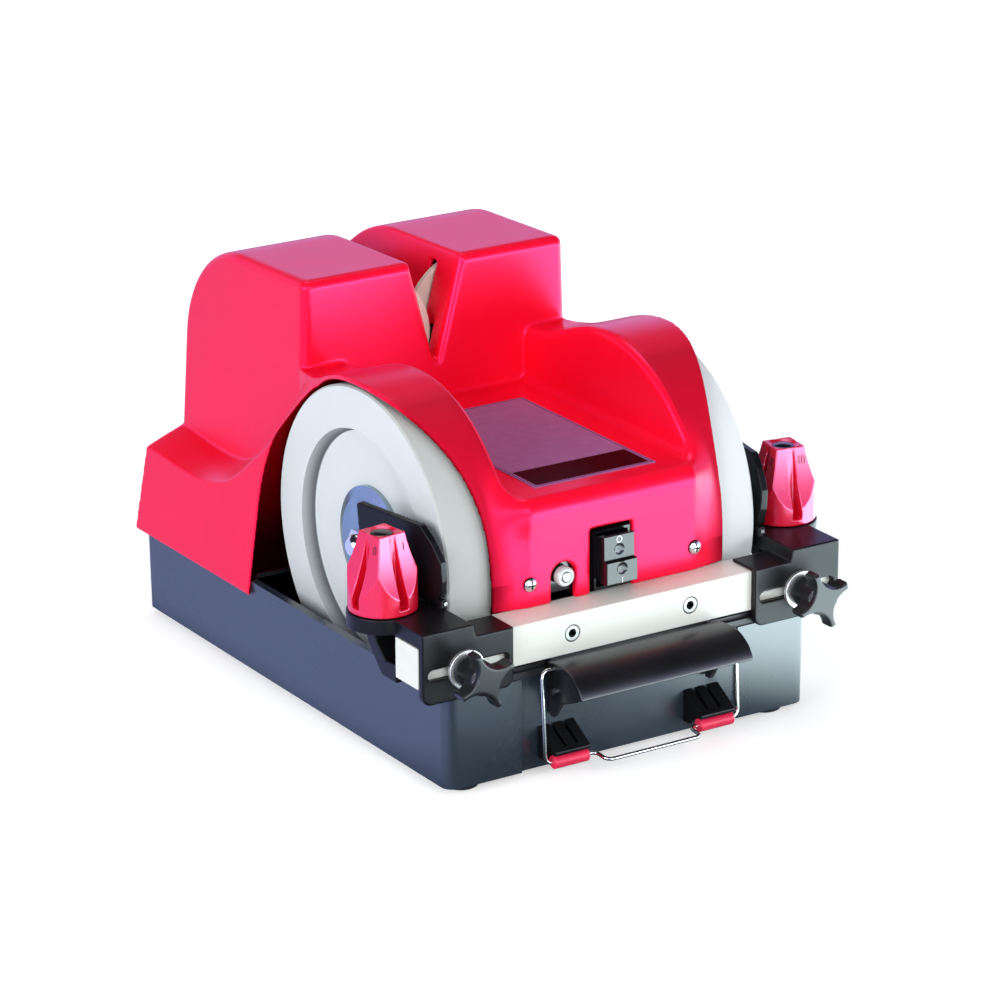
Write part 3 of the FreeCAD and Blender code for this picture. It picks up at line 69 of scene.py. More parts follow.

# Wheel houses, painted shade: radius of the opening, start and ends of its fade, wall that darkens, levels of the
# shade
HOUSE_R = 102.8
HOUSE_FADE_START = 0.3
HOUSE_FADE_FRONT = 6.0
HOUSE_FADE_REAR = 0.8
HOUSE_REAR = (-70.0, -10.0)
HOUSE_WALL = (69.0, 70.5)
HOUSE_LEVELS = (-35.0, 85.0)
HOUSE_SHADE_TONES = ((0.0, (0.006, 0.0003, 0.0005)), (1.0, (0.22, 0.0006, 0.003)))
HOUSE_ROUGH = 0.85

# Screw heads, painted shade in the seat line and the drive recess: place, radius of the rim, radius of the socket
BAR_SCREW = (43.0, 88.2, 4.9, 2.9)
COVER_SCREW = (60.0, 116.2, 4.5, None)
SCREW_SEAT = 0.35
SOCKET_EDGE = 0.3
CROSS_ARM = (0.45, 0.70)
CROSS_REACH = 2.6
SCREW_SHADE = (0.006, 0.006, 0.007)

# Data plate
LABEL_HALF_X = 44.0
LABEL_HALF_Y = 75.0
LABEL_MID_Y = AXLE_Y - 15.0
LABEL_BAND = 30.0
LABEL_INSET = 3.0
LABEL_LINE = (1.1, 1.9)

# Bright ring of the reset collar
RING_R = 6.4

# Marks: heights, width of their lines, height of their relief, gap below them, shape of 0 and O, pitch of the bars
KNOB_MARK_HIGH = 5.2
KNOB_MARK_Z = 151.2
KNOB_MARK_ASIDE = 7.2
KNOB_TURNS = {"left": 7.4, "right": -8.8}
SWITCH_MARKS = (("O", AXLE_Z + 17.2, 4.6), ("I", AXLE_Z - 7.8, 3.6))
MARK_LINE = 0.8
MARK_RELIEF = 0.08
MARK_GAP = 0.05
OVAL_WIDTH = {"0": 0.62, "O": 0.95}
OVAL_STEPS = 40
BAR_PITCH = 2.3
PROBE_ASIDE = 40.0
PROBE_FRONT = -220.0

# Softened pieces: voxel size, rounds of smoothing, share of the faces that is kept
COVER_SOFT = ((0.9, 9, 0.55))
SIDE_SOFT = (("adjust_knob_", 0.40, 3, 0.6), ("star_knob_", 0.5, 4, 0.5), ("bracket_", 0.6, 2, 0.4),
             ("guide_plate_", 0.5, 3, 0.4))
LATCH_SOFT = (("latch_lever", 0.5, 2, 0.4), ("latch_keepers", 0.5, 2, 0.5))
CRUMB_VERTS = 100

# Camera, worked out from the perspective of the photograph
CAMERA_AT = (-1.4183, -2.25075, 1.0572)
CAMERA_YAW = math.radians(-32.53)
CAMERA_PITCH = math.radians(19.55)
CAMERA_ROLL = math.radians(-0.22)
CAMERA_LENS = 160.41

# Light levels; the ceiling's shine falls from HORIZON_LOW to HORIZON_HIGH
FLOOR_GLOW = 0.50
FLOOR_SHEEN = 9.5
WORLD_SOFT = 0.22
WORLD_SHEEN = 1.5
WORLD_DARK = 0.04
WHITE = (1.0, 1.0, 1.0)
SOFT_COLOUR = (0.95, 0.97, 1.0)
SHEEN_COLOUR = (0.52, 0.50, 1.0)
HORIZON_LOW = 0.37
HORIZON_HIGH = 0.52

# Lamps: name, place, target, width, height, power, colour
LAMPS = (
    ("left", (-2.0, -0.7, 0.8), (0.0, 0.0, 0.1), 1.6, 1.0, 34.0, (0.95, 0.95, 1.0)),
    ("front", (-0.3, -2.2, 1.2), (0.0, 0.0, 0.1), 1.4, 0.8, 21.0, WHITE),
    ("low", (1.0, -1.5, 0.22), (0.1, 0.0, 0.08), 0.9, 0.36, 8.0, (0.90, 0.96, 1.0)),
    ("above", (0.2, 0.6, 2.2), (0.0, 0.0, 0.1), 1.2, 0.9, 11.0, (0.92, 0.95, 1.0)),
)

# Floor: half its side in metres; in glossy surfaces it is shaded for SHADE_REACH metres in front of the tub and
# for a sixth of that beside it; its white glow rises between the two distances in millimetres
FLOOR_HALF = 12.0
SHADE_REACH = 0.12
SHADE_LOW = 0.50
SHADE_ASIDE = 6.0
GLOW_REACH = (300.0, 1400.0)

# Cards on the floor, from the left of the picture to the right
CARD_SPAN = 1.0
CARD_COOL = (0.060, 0.070, 0.132)
CARD_BRIGHT = (0.80, 0.96, 1.0)
CARD_STOPS = ((0.0, CARD_COOL), (0.455, CARD_COOL), (0.50, (0.004, 0.005, 0.006)), (0.53, (0.006, 0.007, 0.008)),
              (0.56, (0.04, 0.05, 0.06)), (0.60, (0.03, 0.04, 0.05)), (0.65, CARD_BRIGHT), (1.0, CARD_BRIGHT))


# Node helpers

def new_material(name):
    mat = bpy.data.materials.new(name)
    mat.use_nodes = True
    tree = mat.node_tree
    shader = tree.nodes["Principled BSDF"]
    return mat, tree, shader


def link(tree, a, b):
    tree.links.new(a, b)


def math_node(tree, operation, *values):
    # one Math node; each value is a socket or a number
    node = tree.nodes.new("ShaderNodeMath")
    node.operation = operation
    for index, value in enumerate(values):
        if isinstance(value, (int, float)):
            node.inputs[index].default_value = value
        else:
            link(tree, value, node.inputs[index])
    return node.outputs["Value"]


def length(tree, a, b):
    # length of the vector with the components a and b
    return math_node(tree, "SQRT", math_node(tree, "ADD", math_node(tree, "MULTIPLY", a, a),
                                             math_node(tree, "MULTIPLY", b, b)))


def map_range(tree, value, source=(0.0, 1.0), target=(0.0, 1.0), smooth=False):
    node = tree.nodes.new("ShaderNodeMapRange")
    if smooth:
        node.interpolation_type = "SMOOTHSTEP"
    for socket, number in zip(("From Min", "From Max", "To Min", "To Max"), (*source, *target)):
        node.inputs[socket].default_value = number
    link(tree, value, node.inputs["Value"])
    return node.outputs["Result"]


def smooth_step(tree, value, low, high):
    # 0 below low, 1 above high, both in millimetres
    return map_range(tree, value, (low * MM, high * MM), smooth=True)


def noise(tree, scale, detail=2.0, rough=0.5, stretch=(1.0, 1.0, 1.0)):
    coord = tree.nodes.new("ShaderNodeTexCoord")
    mapping = tree.nodes.new("ShaderNodeMapping")
    mapping.inputs["Scale"].default_value = stretch
    tex = tree.nodes.new("ShaderNodeTexNoise")
    tex.inputs["Scale"].default_value = scale
    tex.inputs["Detail"].default_value = detail
    tex.inputs["Roughness"].default_value = rough
    link(tree, coord.outputs["Object"], mapping.inputs["Vector"])
    link(tree, mapping.outputs["Vector"], tex.inputs["Vector"])
    return tex.outputs["Fac"]


def ramp(tree, source, stops):
    node = tree.nodes.new("ShaderNodeValToRGB")
    while len(node.color_ramp.elements) < len(stops):
        node.color_ramp.elements.new(0.5)
    for element, (place, colour) in zip(node.color_ramp.elements, stops):
        element.position = place
        element.color = (*colour, 1.0)
    link(tree, source, node.inputs["Fac"])
    return node.outputs["Color"]


def mixed(tree, fac, below, above):
    mix = tree.nodes.new("ShaderNodeMixShader")
    link(tree, fac, mix.inputs["Fac"])
    link(tree, below, mix.inputs[1])
    link(tree, above, mix.inputs[2])
    return mix.outputs["Shader"]


def place_axes(tree, centre=(0.0, 0.0, 0.0)):
    # the three coordinates of the piece, counted from a centre given in millimetres
    coord = tree.nodes.new("ShaderNodeTexCoord")
    split = tree.nodes.new("ShaderNodeSeparateXYZ")
    link(tree, coord.outputs["Object"], split.inputs["Vector"])
    return [math_node(tree, "SUBTRACT", split.outputs[axis], centre[index] * MM)
            for index, axis in enumerate(("X", "Y", "Z"))]


# Materials

def scaled(colour, factor):
    return tuple(min(1.0, c * factor) for c in colour)


def grained(name, colour, rough, grain, spread, bump=0.0, bump_scale=900.0, rough_spread=0.05,
            metallic=0.0, specular=0.5, gloss_tint=WHITE, stretch=(1.0, 1.0, 1.0), ior=1.5):
    # one colour that varies a little from place to place, with its own roughness and fine relief
    mat, tree, shader = new_material(name)
    cloud = noise(tree, grain, 4.0, 0.6, stretch)
    tint = ramp(tree, cloud, ((0.3, scaled(colour, 1.0 - spread)), (0.7, scaled(colour, 1.0 + spread))))
    link(tree, tint, shader.inputs["Base Color"])
    gloss = map_range(tree, cloud, target=(rough - rough_spread, rough + rough_spread))
    link(tree, gloss, shader.inputs["Roughness"])
    if bump:
        lift = tree.nodes.new("ShaderNodeBump")
        lift.inputs["Strength"].default_value = bump
        lift.inputs["Distance"].default_value = 0.2 * MM
        link(tree, noise(tree, bump_scale, 2.0, 0.5, stretch), lift.inputs["Height"])
        link(tree, lift.outputs["Normal"], shader.inputs["Normal"])
    shader.inputs["Metallic"].default_value = metallic
    shader.inputs["Specular IOR Level"].default_value = specular
    shader.inputs["IOR"].default_value = ior
    shader.inputs["Specular Tint"].default_value = (*gloss_tint, 1.0)
    return mat


def overlay(mat, mask, colour):
    # lays a second colour over the first where the mask is 1
    tree = mat.node_tree
    shader = tree.nodes["Principled BSDF"]
    below = shader.inputs["Base Color"].links[0].from_socket
    mix = tree.nodes.new("ShaderNodeMix")
    mix.data_type = "RGBA"
    link(tree, mask, mix.inputs["Factor"])
    link(tree, below, mix.inputs["A"])
    if isinstance(colour, tuple):
        mix.inputs["B"].default_value = (*colour, 1.0)
    else:
        link(tree, colour, mix.inputs["B"])
    link(tree, mix.outputs["Result"], shader.inputs["Base Color"])


def paint_wheel_house_shade(mat):
    # painted shade: the inner walls of the wheel houses are painted dark, darker towards the tub below, and made dull
    # with less specular
    tree = mat.node_tree
    shader = tree.nodes["Principled BSDF"]
    x, y, z = place_axes(tree, (0.0, AXLE_Y, AXLE_Z))
    radius = length(tree, y, z)
    rims = []
    for fade in (HOUSE_FADE_FRONT, HOUSE_FADE_REAR):
        # round above the axle, straight down below it
        edge = HOUSE_R + HOUSE_FADE_START, HOUSE_R + fade
        past = math_node(tree, "MAXIMUM", smooth_step(tree, math_node(tree, "ABSOLUTE", y), *edge),
                         smooth_step(tree, z, -1.0, 0.0))
        rims.append(math_node(tree, "MULTIPLY", smooth_step(tree, radius, *edge), past))
    front, rear = rims
    behind = smooth_step(tree, y, *HOUSE_REAR)
    outside = math_node(tree, "MAXIMUM", front, math_node(tree, "MULTIPLY", rear, behind))
    wall = smooth_step(tree, math_node(tree, "ABSOLUTE", x), *HOUSE_WALL)
    mask = math_node(tree, "MULTIPLY", wall, math_node(tree, "SUBTRACT", 1.0, outside))
    overlay(mat, mask, ramp(tree, smooth_step(tree, z, *HOUSE_LEVELS), HOUSE_SHADE_TONES))
    gloss = shader.inputs["Roughness"].links[0].from_socket
    dull = math_node(tree, "MULTIPLY", math_node(tree, "SUBTRACT", HOUSE_ROUGH, gloss), mask)
    link(tree, math_node(tree, "ADD", gloss, dull), shader.inputs["Roughness"])
    specular = shader.inputs["Specular IOR Level"]
    lost = math_node(tree, "MULTIPLY", mask, specular.default_value)
    link(tree, math_node(tree, "SUBTRACT", specular.default_value, lost), specular)


def screw_heads(mat, x_at, z_at, rim, socket):
    # painted shade: a dark seat line round each head and a dark drive recess, where shade falls, on both sides of the
    # machine;
    # without a socket radius the recess is a cross
    tree = mat.node_tree
    x, _, z = place_axes(tree, (0.0, 0.0, z_at))
    aside = math_node(tree, "SUBTRACT", math_node(tree, "ABSOLUTE", x), x_at * MM)
    radius = length(tree, aside, z)
    outer = smooth_step(tree, radius, rim - SCREW_SEAT, rim)
    if socket is None:
        arm = math_node(tree, "MINIMUM", math_node(tree, "ABSOLUTE", aside), math_node(tree, "ABSOLUTE", z))
        inner = math_node(tree, "SUBTRACT", 1.0, smooth_step(tree, arm, *CROSS_ARM))
        inner = math_node(tree, "MULTIPLY", inner, math_node(tree, "LESS_THAN", radius, CROSS_REACH * MM))
    else:
        inner = math_node(tree, "SUBTRACT", 1.0, smooth_step(tree, radius, socket - SOCKET_EDGE, socket))
    overlay(mat, math_node(tree, "MAXIMUM", outer, inner), SCREW_SHADE)
    return mat


def label_material():
    # printed film: violet grey field, dark band near the front edge, thin dark frame line, no words
    mat, tree, shader = new_material("label_print")
    x, y, _ = place_axes(tree, (0.0, LABEL_MID_Y, 0.0))
    field = ramp(tree, noise(tree, 140.0, 3.0), ((0.3, (0.34, 0.130, 0.30)), (0.7, (0.38, 0.150, 0.34))))
    link(tree, field, shader.inputs["Base Color"])
    from_edge = math_node(tree, "MINIMUM",
                          math_node(tree, "SUBTRACT", LABEL_HALF_X * MM, math_node(tree, "ABSOLUTE", x)),
                          math_node(tree, "SUBTRACT", LABEL_HALF_Y * MM, math_node(tree, "ABSOLUTE", y)))
    inset = math_node(tree, "GREATER_THAN", from_edge, LABEL_INSET * MM)
    band = math_node(tree, "LESS_THAN", y, (LABEL_BAND - LABEL_HALF_Y) * MM)
    overlay(mat, math_node(tree, "MULTIPLY", band, inset), (0.030, 0.001, 0.002))
    outer, inner = LABEL_LINE
    line = math_node(tree, "MULTIPLY", math_node(tree, "GREATER_THAN", from_edge, outer * MM),
                     math_node(tree, "LESS_THAN", from_edge, inner * MM))
    overlay(mat, line, (0.13, 0.045, 0.16))
    shader.inputs["Roughness"].default_value = 0.45
    shader.inputs["Specular IOR Level"].default_value = 0.05
    return mat


def collar_material():
    # black holder with a bright ring round the button
    mat = grained("collar_glossy", (0.006, 0.006, 0.007), 0.16, 40.0, 0.15, specular=0.6)
    tree = mat.node_tree
    x, y, z = place_axes(tree, (RESET_X, COLLAR_REAR, RESET_Z))
    ring = math_node(tree, "MULTIPLY", math_node(tree, "LESS_THAN", length(tree, x, z), RING_R * MM),
                     math_node(tree, "LESS_THAN", y, 0.0))
    overlay(mat, ring, (0.52, 0.55, 0.54))
    return mat


def shaded_stone():
    # painted shade: the tread is painted greyer than the ground face and the wall of the dish darker towards its
    # floor, both for shade that falls on them; the base is a little darker than the other wheel's
    mat = grained("stone_left", (0.72, 0.77, 0.78), 0.62, 9.0, 0.025, bump=0.35, bump_scale=2400.0, specular=0.3)
    tree = mat.node_tree
    _, y, z = place_axes(tree, (0.0, AXLE_Y, AXLE_Z))
    radius = length(tree, y, z)
    overlay(mat, smooth_step(tree, radius, TREAD_R - TREAD_EDGE, TREAD_R), (0.50, 0.53, 0.51))
    wall = math_node(tree, "MULTIPLY", smooth_step(tree, radius, DISH_FLOOR_R, DISH_FLOOR_R + DISH_EDGE),
                     math_node(tree, "LESS_THAN", radius, (DISH_RIM_R - DISH_MARGIN) * MM))
    shade = ramp(tree, smooth_step(tree, radius, DISH_FLOOR_R, DISH_RIM_R),
                 ((0.0, (0.10, 0.11, 0.12)), (1.0, (0.42, 0.45, 0.46))))
    overlay(mat, wall, shade)
    return mat


MATERIALS = {
    "cover": grained("cover_moulded", (0.95, 0.004, 0.026), 0.30, 14.0, 0.04, bump=0.05, bump_scale=2600.0,
                     specular=1.0, gloss_tint=(1.0, 0.22, 1.0), ior=1.36),
    "knob": grained("knob_satin", (0.74, 0.004, 0.022), 0.26, 60.0, 0.06, bump=0.04, bump_scale=3000.0,
                    specular=1.0, gloss_tint=(1.0, 0.55, 1.0), ior=1.62),
    "sleeve": grained("sleeve_soft", (0.80, 0.020, 0.080), 0.42, 80.0, 0.10, bump=0.12, bump_scale=2200.0),
    "tub": grained("tub_moulded", (0.020, 0.032, 0.046), 0.28, 10.0, 0.15, bump=0.05, bump_scale=2600.0,
                   specular=0.95),
    "black": grained("black_moulded", (0.005, 0.005, 0.006), 0.36, 40.0, 0.18, bump=0.08, bump_scale=2200.0,
                     specular=0.22),
    "star": grained("star_moulded", (0.012, 0.013, 0.014), 0.30, 40.0, 0.15, bump=0.05, bump_scale=2200.0,
                    specular=0.4),
    "button": grained("button_clear", (0.10, 0.11, 0.11), 0.10, 60.0, 0.05, specular=1.0, ior=1.8),
    "lever": grained("lever_moulded", (0.006, 0.006, 0.007), 0.34, 40.0, 0.15, bump=0.06, bump_scale=2200.0,
                     specular=0.62),
    "washer": grained("washer_plated", (0.78, 0.77, 0.72), 0.38, 90.0, 0.06, metallic=0.8),
    "gloss_black": grained("black_glossy", (0.006, 0.006, 0.007), 0.15, 40.0, 0.15, bump=0.02, bump_scale=1800.0),
    "rubber": grained("rubber_matt", (0.016, 0.016, 0.017), 0.72, 70.0, 0.2, bump=0.25, bump_scale=1500.0),
    "plate": grained("plate_coated", (0.016, 0.017, 0.020), 0.50, 30.0, 0.15, bump=0.25, bump_scale=1600.0),
    "bar": grained("bar_drawn", (0.82, 0.85, 0.79), 0.34, 30.0, 0.05, bump=0.10, bump_scale=900.0, specular=0.35,
                   rough_spread=0.08, stretch=(0.04, 1.0, 1.0)),
    "steel": grained("steel_turned", (0.62, 0.62, 0.60), 0.26, 120.0, 0.12, bump=0.10, bump_scale=1200.0,
                     metallic=1.0),
    "bright": grained("wire_plated", (0.86, 0.83, 0.76), 0.14, 90.0, 0.06, metallic=1.0),
    "stone": grained("stone_fine", (0.80, 0.84, 0.86), 0.62, 9.0, 0.025, bump=0.35, bump_scale=2400.0, specular=0.3),
    "hone": grained("hone_fine", (0.80, 0.74, 0.66), 0.55, 90.0, 0.05, bump=0.3, bump_scale=2400.0, specular=0.3),
    "hub": grained("hub_plated", (0.30, 0.40, 0.44), 0.22, 60.0, 0.12, bump=0.10, bump_scale=1500.0, metallic=0.9),
    "motor": grained("motor_painted", (0.08, 0.085, 0.095), 0.45, 40.0, 0.15, bump=0.3, bump_scale=1100.0),
    "pulley": grained("pulley_turned", (0.55, 0.56, 0.58), 0.30, 90.0, 0.08, bump=0.1, bump_scale=1300.0,
                      metallic=1.0),
    "mark": grained("mark_print", (0.82, 0.82, 0.82), 0.5, 120.0, 0.04),
    "knob_mark": grained("mark_moulded", (0.16, 0.004, 0.018), 0.5, 120.0, 0.05),
    "label": label_material(),
    "collar": collar_material(),
    # the left wheel's stone, with painted shade on its tread and dish wall
    "stone_shaded": shaded_stone(),
    "socket_screw": screw_heads(grained("socket_screw", (0.30, 0.30, 0.29), 0.34, 60.0, 0.06, metallic=0.8),
                                *BAR_SCREW),
    "cross_screw": screw_heads(grained("cross_screw", (0.80, 0.79, 0.76), 0.26, 60.0, 0.05, metallic=1.0),
                               *COVER_SCREW),
}
# painted shade inside the cover's wheel houses
paint_wheel_house_shade(MATERIALS["cover"])

# Material of each piece; a name that ends in _ stands for the left and the right one
PAINT = {
    "top_cover": "cover", "water_tub": "tub", "rubber_feet": "rubber", "latch_keepers": "black",
    "chassis": "plate", "data_plate": "label", "cross_bar": "bar", "bar_screws": "socket_screw",
    "cover_screws": "cross_screw", "gear_motor": "motor", "motor_pulley": "pulley", "honing_frame": "plate",
    "switch_body": "gloss_black", "switch_rocker": "gloss_black", "reset_collar": "collar",
    "reset_button": "button", "cable_inlet": "black", "main_axle": "steel", "wheel_flanges_outer": "hub",
    "wheel_flanges_inner": "hub", "hub_nuts": "bright", "latch_bracket": "plate", "latch_pin": "steel",
    "latch_lever": "lever", "wire_bail": "bright", "bail_sleeves": "sleeve", "wheel_left": "stone_shaded",
    "wheel_": "stone", "honing_disc_": "hone", "honing_shaft_": "steel", "honing_pulley_": "pulley",
    "drive_belt_": "rubber", "bracket_": "black", "guide_plate_": "black", "guide_pin_": "steel",
    "adjust_knob_": "knob", "knob_cap_": "gloss_black", "adjust_spindle_": "steel", "star_knob_": "star",
    "clamp_screw_": "steel", "clamp_washer_": "washer",
}


def paint_of(node):
    if node in PAINT:
        return MATERIALS[PAINT[node]]
    return MATERIALS[PAINT[node.rsplit("_", 1)[0] + "_"]]


def paint(obj, mat):
    obj.data.materials.clear()
    obj.data.materials.append(mat)


def smooth_shade(obj):
    for face in obj.data.polygons:
        face.use_smooth = True


for node_name, node_object in NODES.items():
    if node_object.material_slots:
        for node_slot in node_object.material_slots:
            node_slot.material = paint_of(node_name)
    else:
        paint(node_object, paint_of(node_name))
    smooth_shade(node_object)

BODY_OF = {member: body for body, members in frame["record"]["behaviour"]["bodies"].items() for member in members}


# Softened pieces

def add_object(name, data):
    obj = bpy.data.objects.new(name, data)
    bpy.context.scene.collection.objects.link(obj)
    return obj


def bake_modifiers(obj):
    graph = bpy.context.evaluated_depsgraph_get()
    mesh = bpy.data.meshes.new_from_object(obj.evaluated_get(graph))
    obj.modifiers.clear()
    obj.data = mesh


def drop_crumbs(mesh):
    # shells of only a few vertices, which the voxels cut off at a thin edge, are deleted
    bm = bmesh.new()
    bm.from_mesh(mesh)
    crumbs = []
    seen = set()
    for first in bm.verts:
        if first in seen:
            continue
        seen.add(first)
        shell = [first]
        for vert in shell:
            for edge in vert.link_edges:
                other = edge.other_vert(vert)
                if other not in seen:
                    seen.add(other)
                    shell.append(other)
        if len(shell) < CRUMB_VERTS:
            crumbs.extend(shell)
    bmesh.ops.delete(bm, geom=crumbs, context="VERTS")
    bm.to_mesh(mesh)
    bm.free()


def soft_copy(node, voxel, rounds, keep):
    # the CAD piece as it leaves its mould: same form, edges and inner corners rounded
    obj = add_object("soft_" + node, NODES[node].data.copy())
    remesh = obj.modifiers.new("remesh", "REMESH")
    remesh.mode = "VOXEL"
    remesh.voxel_size = voxel * MM
    remesh.adaptivity = 0.0
    smooth = obj.modifiers.new("smooth", "SMOOTH")
    smooth.factor = 0.5
    smooth.iterations = rounds
    thin = obj.modifiers.new("thin", "DECIMATE")
    thin.ratio = keep
    bake_modifiers(obj)
    drop_crumbs(obj.data)
    smooth_shade(obj)
    paint(obj, paint_of(node))
    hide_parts(node)
    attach(obj, BODY_OF[node])
    return obj


soft_copy("top_cover", *COVER_SOFT)
SOFT = {}
for side_name in SIDES:
    for stem, *how in SIDE_SOFT:
        SOFT[stem + side_name] = soft_copy(stem + side_name, *how)
for node_name, *how in LATCH_SOFT:
    soft_copy(node_name, *how)


# Printed and moulded marks

def oval_outline(width, height):
    turns = [2 * math.pi * step / OVAL_STEPS for step in range(OVAL_STEPS)]
    return [(width / 2 * math.cos(turn), height / 2 * math.sin(turn)) for turn in turns]


def mark_mesh(kind, height, line):
    # 0 or O as an oval ring, I II III as bars; lies in the XZ plane, faces minus Y
    mesh = bpy.data.meshes.new("mark_" + kind)
    bm = bmesh.new()
    if kind in OVAL_WIDTH:
        width = height * OVAL_WIDTH[kind]
        outer = [bm.verts.new((x, 0, z)) for x, z in oval_outline(width, height)]
        inner = [bm.verts.new((x, 0, z)) for x, z in oval_outline(width - 2 * line, height - 2 * line)]
        for index in range(OVAL_STEPS):
            after = (index + 1) % OVAL_STEPS
            bm.faces.new((outer[index], outer[after], inner[after], inner[index]))
    else:
        count = len(kind)
        for index in range(count):
            x = (index - (count - 1) / 2) * line * BAR_PITCH
            corners = [(x - line / 2, -height / 2), (x + line / 2, -height / 2),
                       (x + line / 2, height / 2), (x - line / 2, height / 2)]
            bm.faces.new([bm.verts.new((px, 0, pz)) for px, pz in corners])
    bmesh.ops.recalc_face_normals(bm, faces=bm.faces)
    extruded = bmesh.ops.extrude_face_region(bm, geom=list(bm.faces))
    lifted = [v for v in extruded["geom"] if isinstance(v, bmesh.types.BMVert)]
    bmesh.ops.translate(bm, verts=lifted, vec=(0, -MARK_RELIEF * MM, 0))
    bmesh.ops.recalc_face_normals(bm, faces=bm.faces)
    bm.to_mesh(mesh)
    bm.free()
    return mesh


def surface_of(obj):
    graph = bpy.context.evaluated_depsgraph_get()
    return BVHTree.FromObject(obj, graph)


def place_on(mark, surface, start, direction, body):
    # the mark is laid on the surface that the line from start meets, its top pointing up
    aim = Vector(direction)
    top = Vector((0, 0, 1))
    spot, normal, _, _ = surface.ray_cast(Vector(start) * MM, aim)
    if normal.dot(aim) > 0:
        normal = -normal
    up = (top - normal * normal.dot(top)).normalized()
    across = up.cross(-normal).normalized()
    turn = Matrix((across, -normal, up)).transposed().to_4x4()
    mark.matrix_world = Matrix.Translation(spot + normal * MARK_GAP * MM) @ turn
    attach(mark, body)


def knob_marks(side_name, side, first):
    # the four facets carry 0, I, II and III beside their grooves, counter-clockwise seen from above
    surface = surface_of(SOFT["adjust_knob_" + side_name])
    for index, kind in enumerate(("0", "I", "II", "III")):
        angle = math.radians(first + KNOB_TURNS[side_name] + 90 * index)
        out = Vector((math.cos(angle), math.sin(angle), 0.0))
        aside = Vector((-math.sin(angle), math.cos(angle), 0.0))
        start = Vector((side * KNOB_X, KNOB_Y, KNOB_MARK_Z)) + out * PROBE_ASIDE + aside * KNOB_MARK_ASIDE
        mark = add_object("knob_mark_%s_%s" % (side_name, kind), mark_mesh(kind, KNOB_MARK_HIGH * MM, MARK_LINE * MM))
        paint(mark, MATERIALS["knob_mark"])
        place_on(mark, surface, start, -out, "setting_knob_" + side_name)


def switch_marks():
    surface = surface_of(NODES["switch_rocker"])
    for kind, level, high in SWITCH_MARKS:
        mark = add_object("switch_mark_" + kind, mark_mesh(kind, high * MM, MARK_LINE * MM))
        paint(mark, MATERIALS["mark"])
        place_on(mark, surface, (ROCKER_X, PROBE_FRONT, level), (0, 1, 0), "switch")


knob_marks("left", -1, 180.0)
knob_marks("right", 1, 0.0)
switch_marks()


# Stage, light and camera

def floor_sheen(tree):
    # what glossy surfaces see of the floor: a cool card behind on the left, a dark gap towards the front
    # left, a bright card at the front right, and the shade close to the tub
    x, y, _ = place_axes(tree)
    along = math_node(tree, "ADD", math_node(tree, "MULTIPLY", x, math.cos(CAMERA_YAW)),
                      math_node(tree, "MULTIPLY", y, math.sin(CAMERA_YAW)))
    cards = ramp(tree, map_range(tree, along, (-CARD_SPAN, CARD_SPAN)), CARD_STOPS)
    ahead = math_node(tree, "SUBTRACT", TUB_FRONT * MM, y)
    beside = math_node(tree, "MULTIPLY", math_node(tree, "SUBTRACT", -TUB_HALF * MM, x), SHADE_ASIDE)
    shade = map_range(tree, math_node(tree, "MAXIMUM", ahead, beside), (0.0, SHADE_REACH),
                      (SHADE_LOW * FLOOR_SHEEN, FLOOR_SHEEN))
    glow = tree.nodes.new("ShaderNodeEmission")
    link(tree, cards, glow.inputs["Color"])
    link(tree, shade, glow.inputs["Strength"])
    return glow.outputs["Emission"]


def stage_floor():
    # pale floor: plain to the lamps, white to the camera, cards and dark gaps to glossy surfaces
    half = FLOOR_HALF
    mesh = bpy.data.meshes.new("floor")
    mesh.from_pydata([(-half, -half, 0), (half, -half, 0), (half, half, 0), (-half, half, 0)], [], [(0, 1, 2, 3)])
    floor = add_object("floor", mesh)
    mat, tree, shader = new_material("floor_pale")
    tint = ramp(tree, noise(tree, 3.0), ((0.3, (0.88, 0.88, 0.88)), (0.7, (0.90, 0.90, 0.90))))
    link(tree, tint, shader.inputs["Base Color"])
    shader.inputs["Roughness"].default_value = 0.9
    shader.inputs["Specular IOR Level"].default_value = 0.0
    path = tree.nodes.new("ShaderNodeLightPath")
    x, y, _ = place_axes(tree)
    far = math_node(tree, "MULTIPLY", smooth_step(tree, length(tree, x, y), *GLOW_REACH), 1.0 - FLOOR_GLOW)
    glow = tree.nodes.new("ShaderNodeEmission")
    link(tree, math_node(tree, "ADD", far, FLOOR_GLOW), glow.inputs["Strength"])
    add = tree.nodes.new("ShaderNodeAddShader")
    link(tree, shader.outputs["BSDF"], add.inputs[0])
    link(tree, glow.outputs["Emission"], add.inputs[1])
    last = mixed(tree, path.outputs["Is Camera Ray"], shader.outputs["BSDF"], add.outputs["Shader"])
    last = mixed(tree, path.outputs["Is Glossy Ray"], last, floor_sheen(tree))
    link(tree, last, tree.nodes["Material Output"].inputs["Surface"])
    floor.data.materials.append(mat)


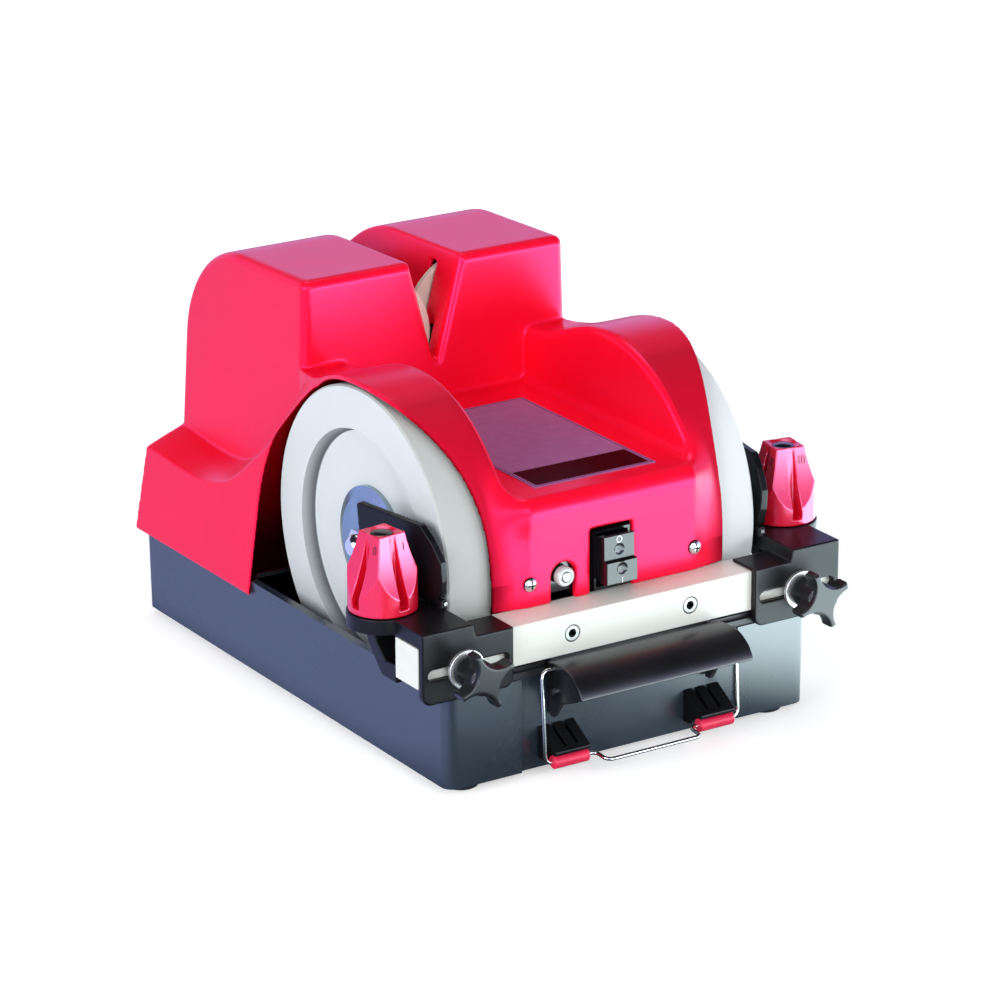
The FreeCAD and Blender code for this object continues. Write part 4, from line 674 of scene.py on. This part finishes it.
def world_light():
    # soft light all round; glossy surfaces see a bright horizon and a dark ceiling
    world = bpy.data.worlds.new("studio")
    bpy.context.scene.world = world
    world.use_nodes = True
    tree = world.node_tree
    tree.nodes.clear()
    out = tree.nodes.new("ShaderNodeOutputWorld")
    path = tree.nodes.new("ShaderNodeLightPath")
    coord = tree.nodes.new("ShaderNodeTexCoord")
    split = tree.nodes.new("ShaderNodeSeparateXYZ")
    link(tree, coord.outputs["Generated"], split.inputs["Vector"])
    height = map_range(tree, split.outputs["Z"], (HORIZON_LOW, HORIZON_HIGH), (WORLD_SHEEN, WORLD_DARK), smooth=True)
    lights = []
    for colour, strength in ((SOFT_COLOUR, WORLD_SOFT), (SHEEN_COLOUR, height), (WHITE, 1.0)):
        light = tree.nodes.new("ShaderNodeBackground")
        light.inputs["Color"].default_value = (*colour, 1.0)
        if isinstance(strength, float):
            light.inputs["Strength"].default_value = strength
        else:
            link(tree, strength, light.inputs["Strength"])
        lights.append(light.outputs["Background"])
    soft, sheen, white = lights
    last = mixed(tree, path.outputs["Is Glossy Ray"], soft, sheen)
    last = mixed(tree, path.outputs["Is Camera Ray"], last, white)
    link(tree, last, out.inputs["Surface"])


def area_light(name, place, target, width, height, power, colour):
    data = bpy.data.lights.new(name, "AREA")
    data.shape = "RECTANGLE"
    data.size = width
    data.size_y = height
    data.energy = power
    data.color = colour
    lamp = add_object(name, data)
    lamp.location = place
    aim = Vector(target) - Vector(place)
    lamp.rotation_euler = aim.to_track_quat("-Z", "Y").to_euler()


def photo_camera():
    data = bpy.data.cameras.new("photo_camera")
    data.sensor_fit = "HORIZONTAL"
    data.sensor_width = 36.0
    data.lens = CAMERA_LENS
    data.clip_start = 0.05
    data.clip_end = 60.0
    camera = add_object("photo_camera", data)
    turn = (Matrix.Rotation(CAMERA_YAW, 4, "Z") @ Matrix.Rotation(math.pi / 2 - CAMERA_PITCH, 4, "X")
            @ Matrix.Rotation(CAMERA_ROLL, 4, "Z"))
    camera.matrix_world = Matrix.Translation(CAMERA_AT) @ turn
    bpy.context.scene.camera = camera


stage_floor()
world_light()
for lamp_row in LAMPS:
    area_light(*lamp_row)
photo_camera()
bpy.context.scene.view_settings.view_transform = "Standard"
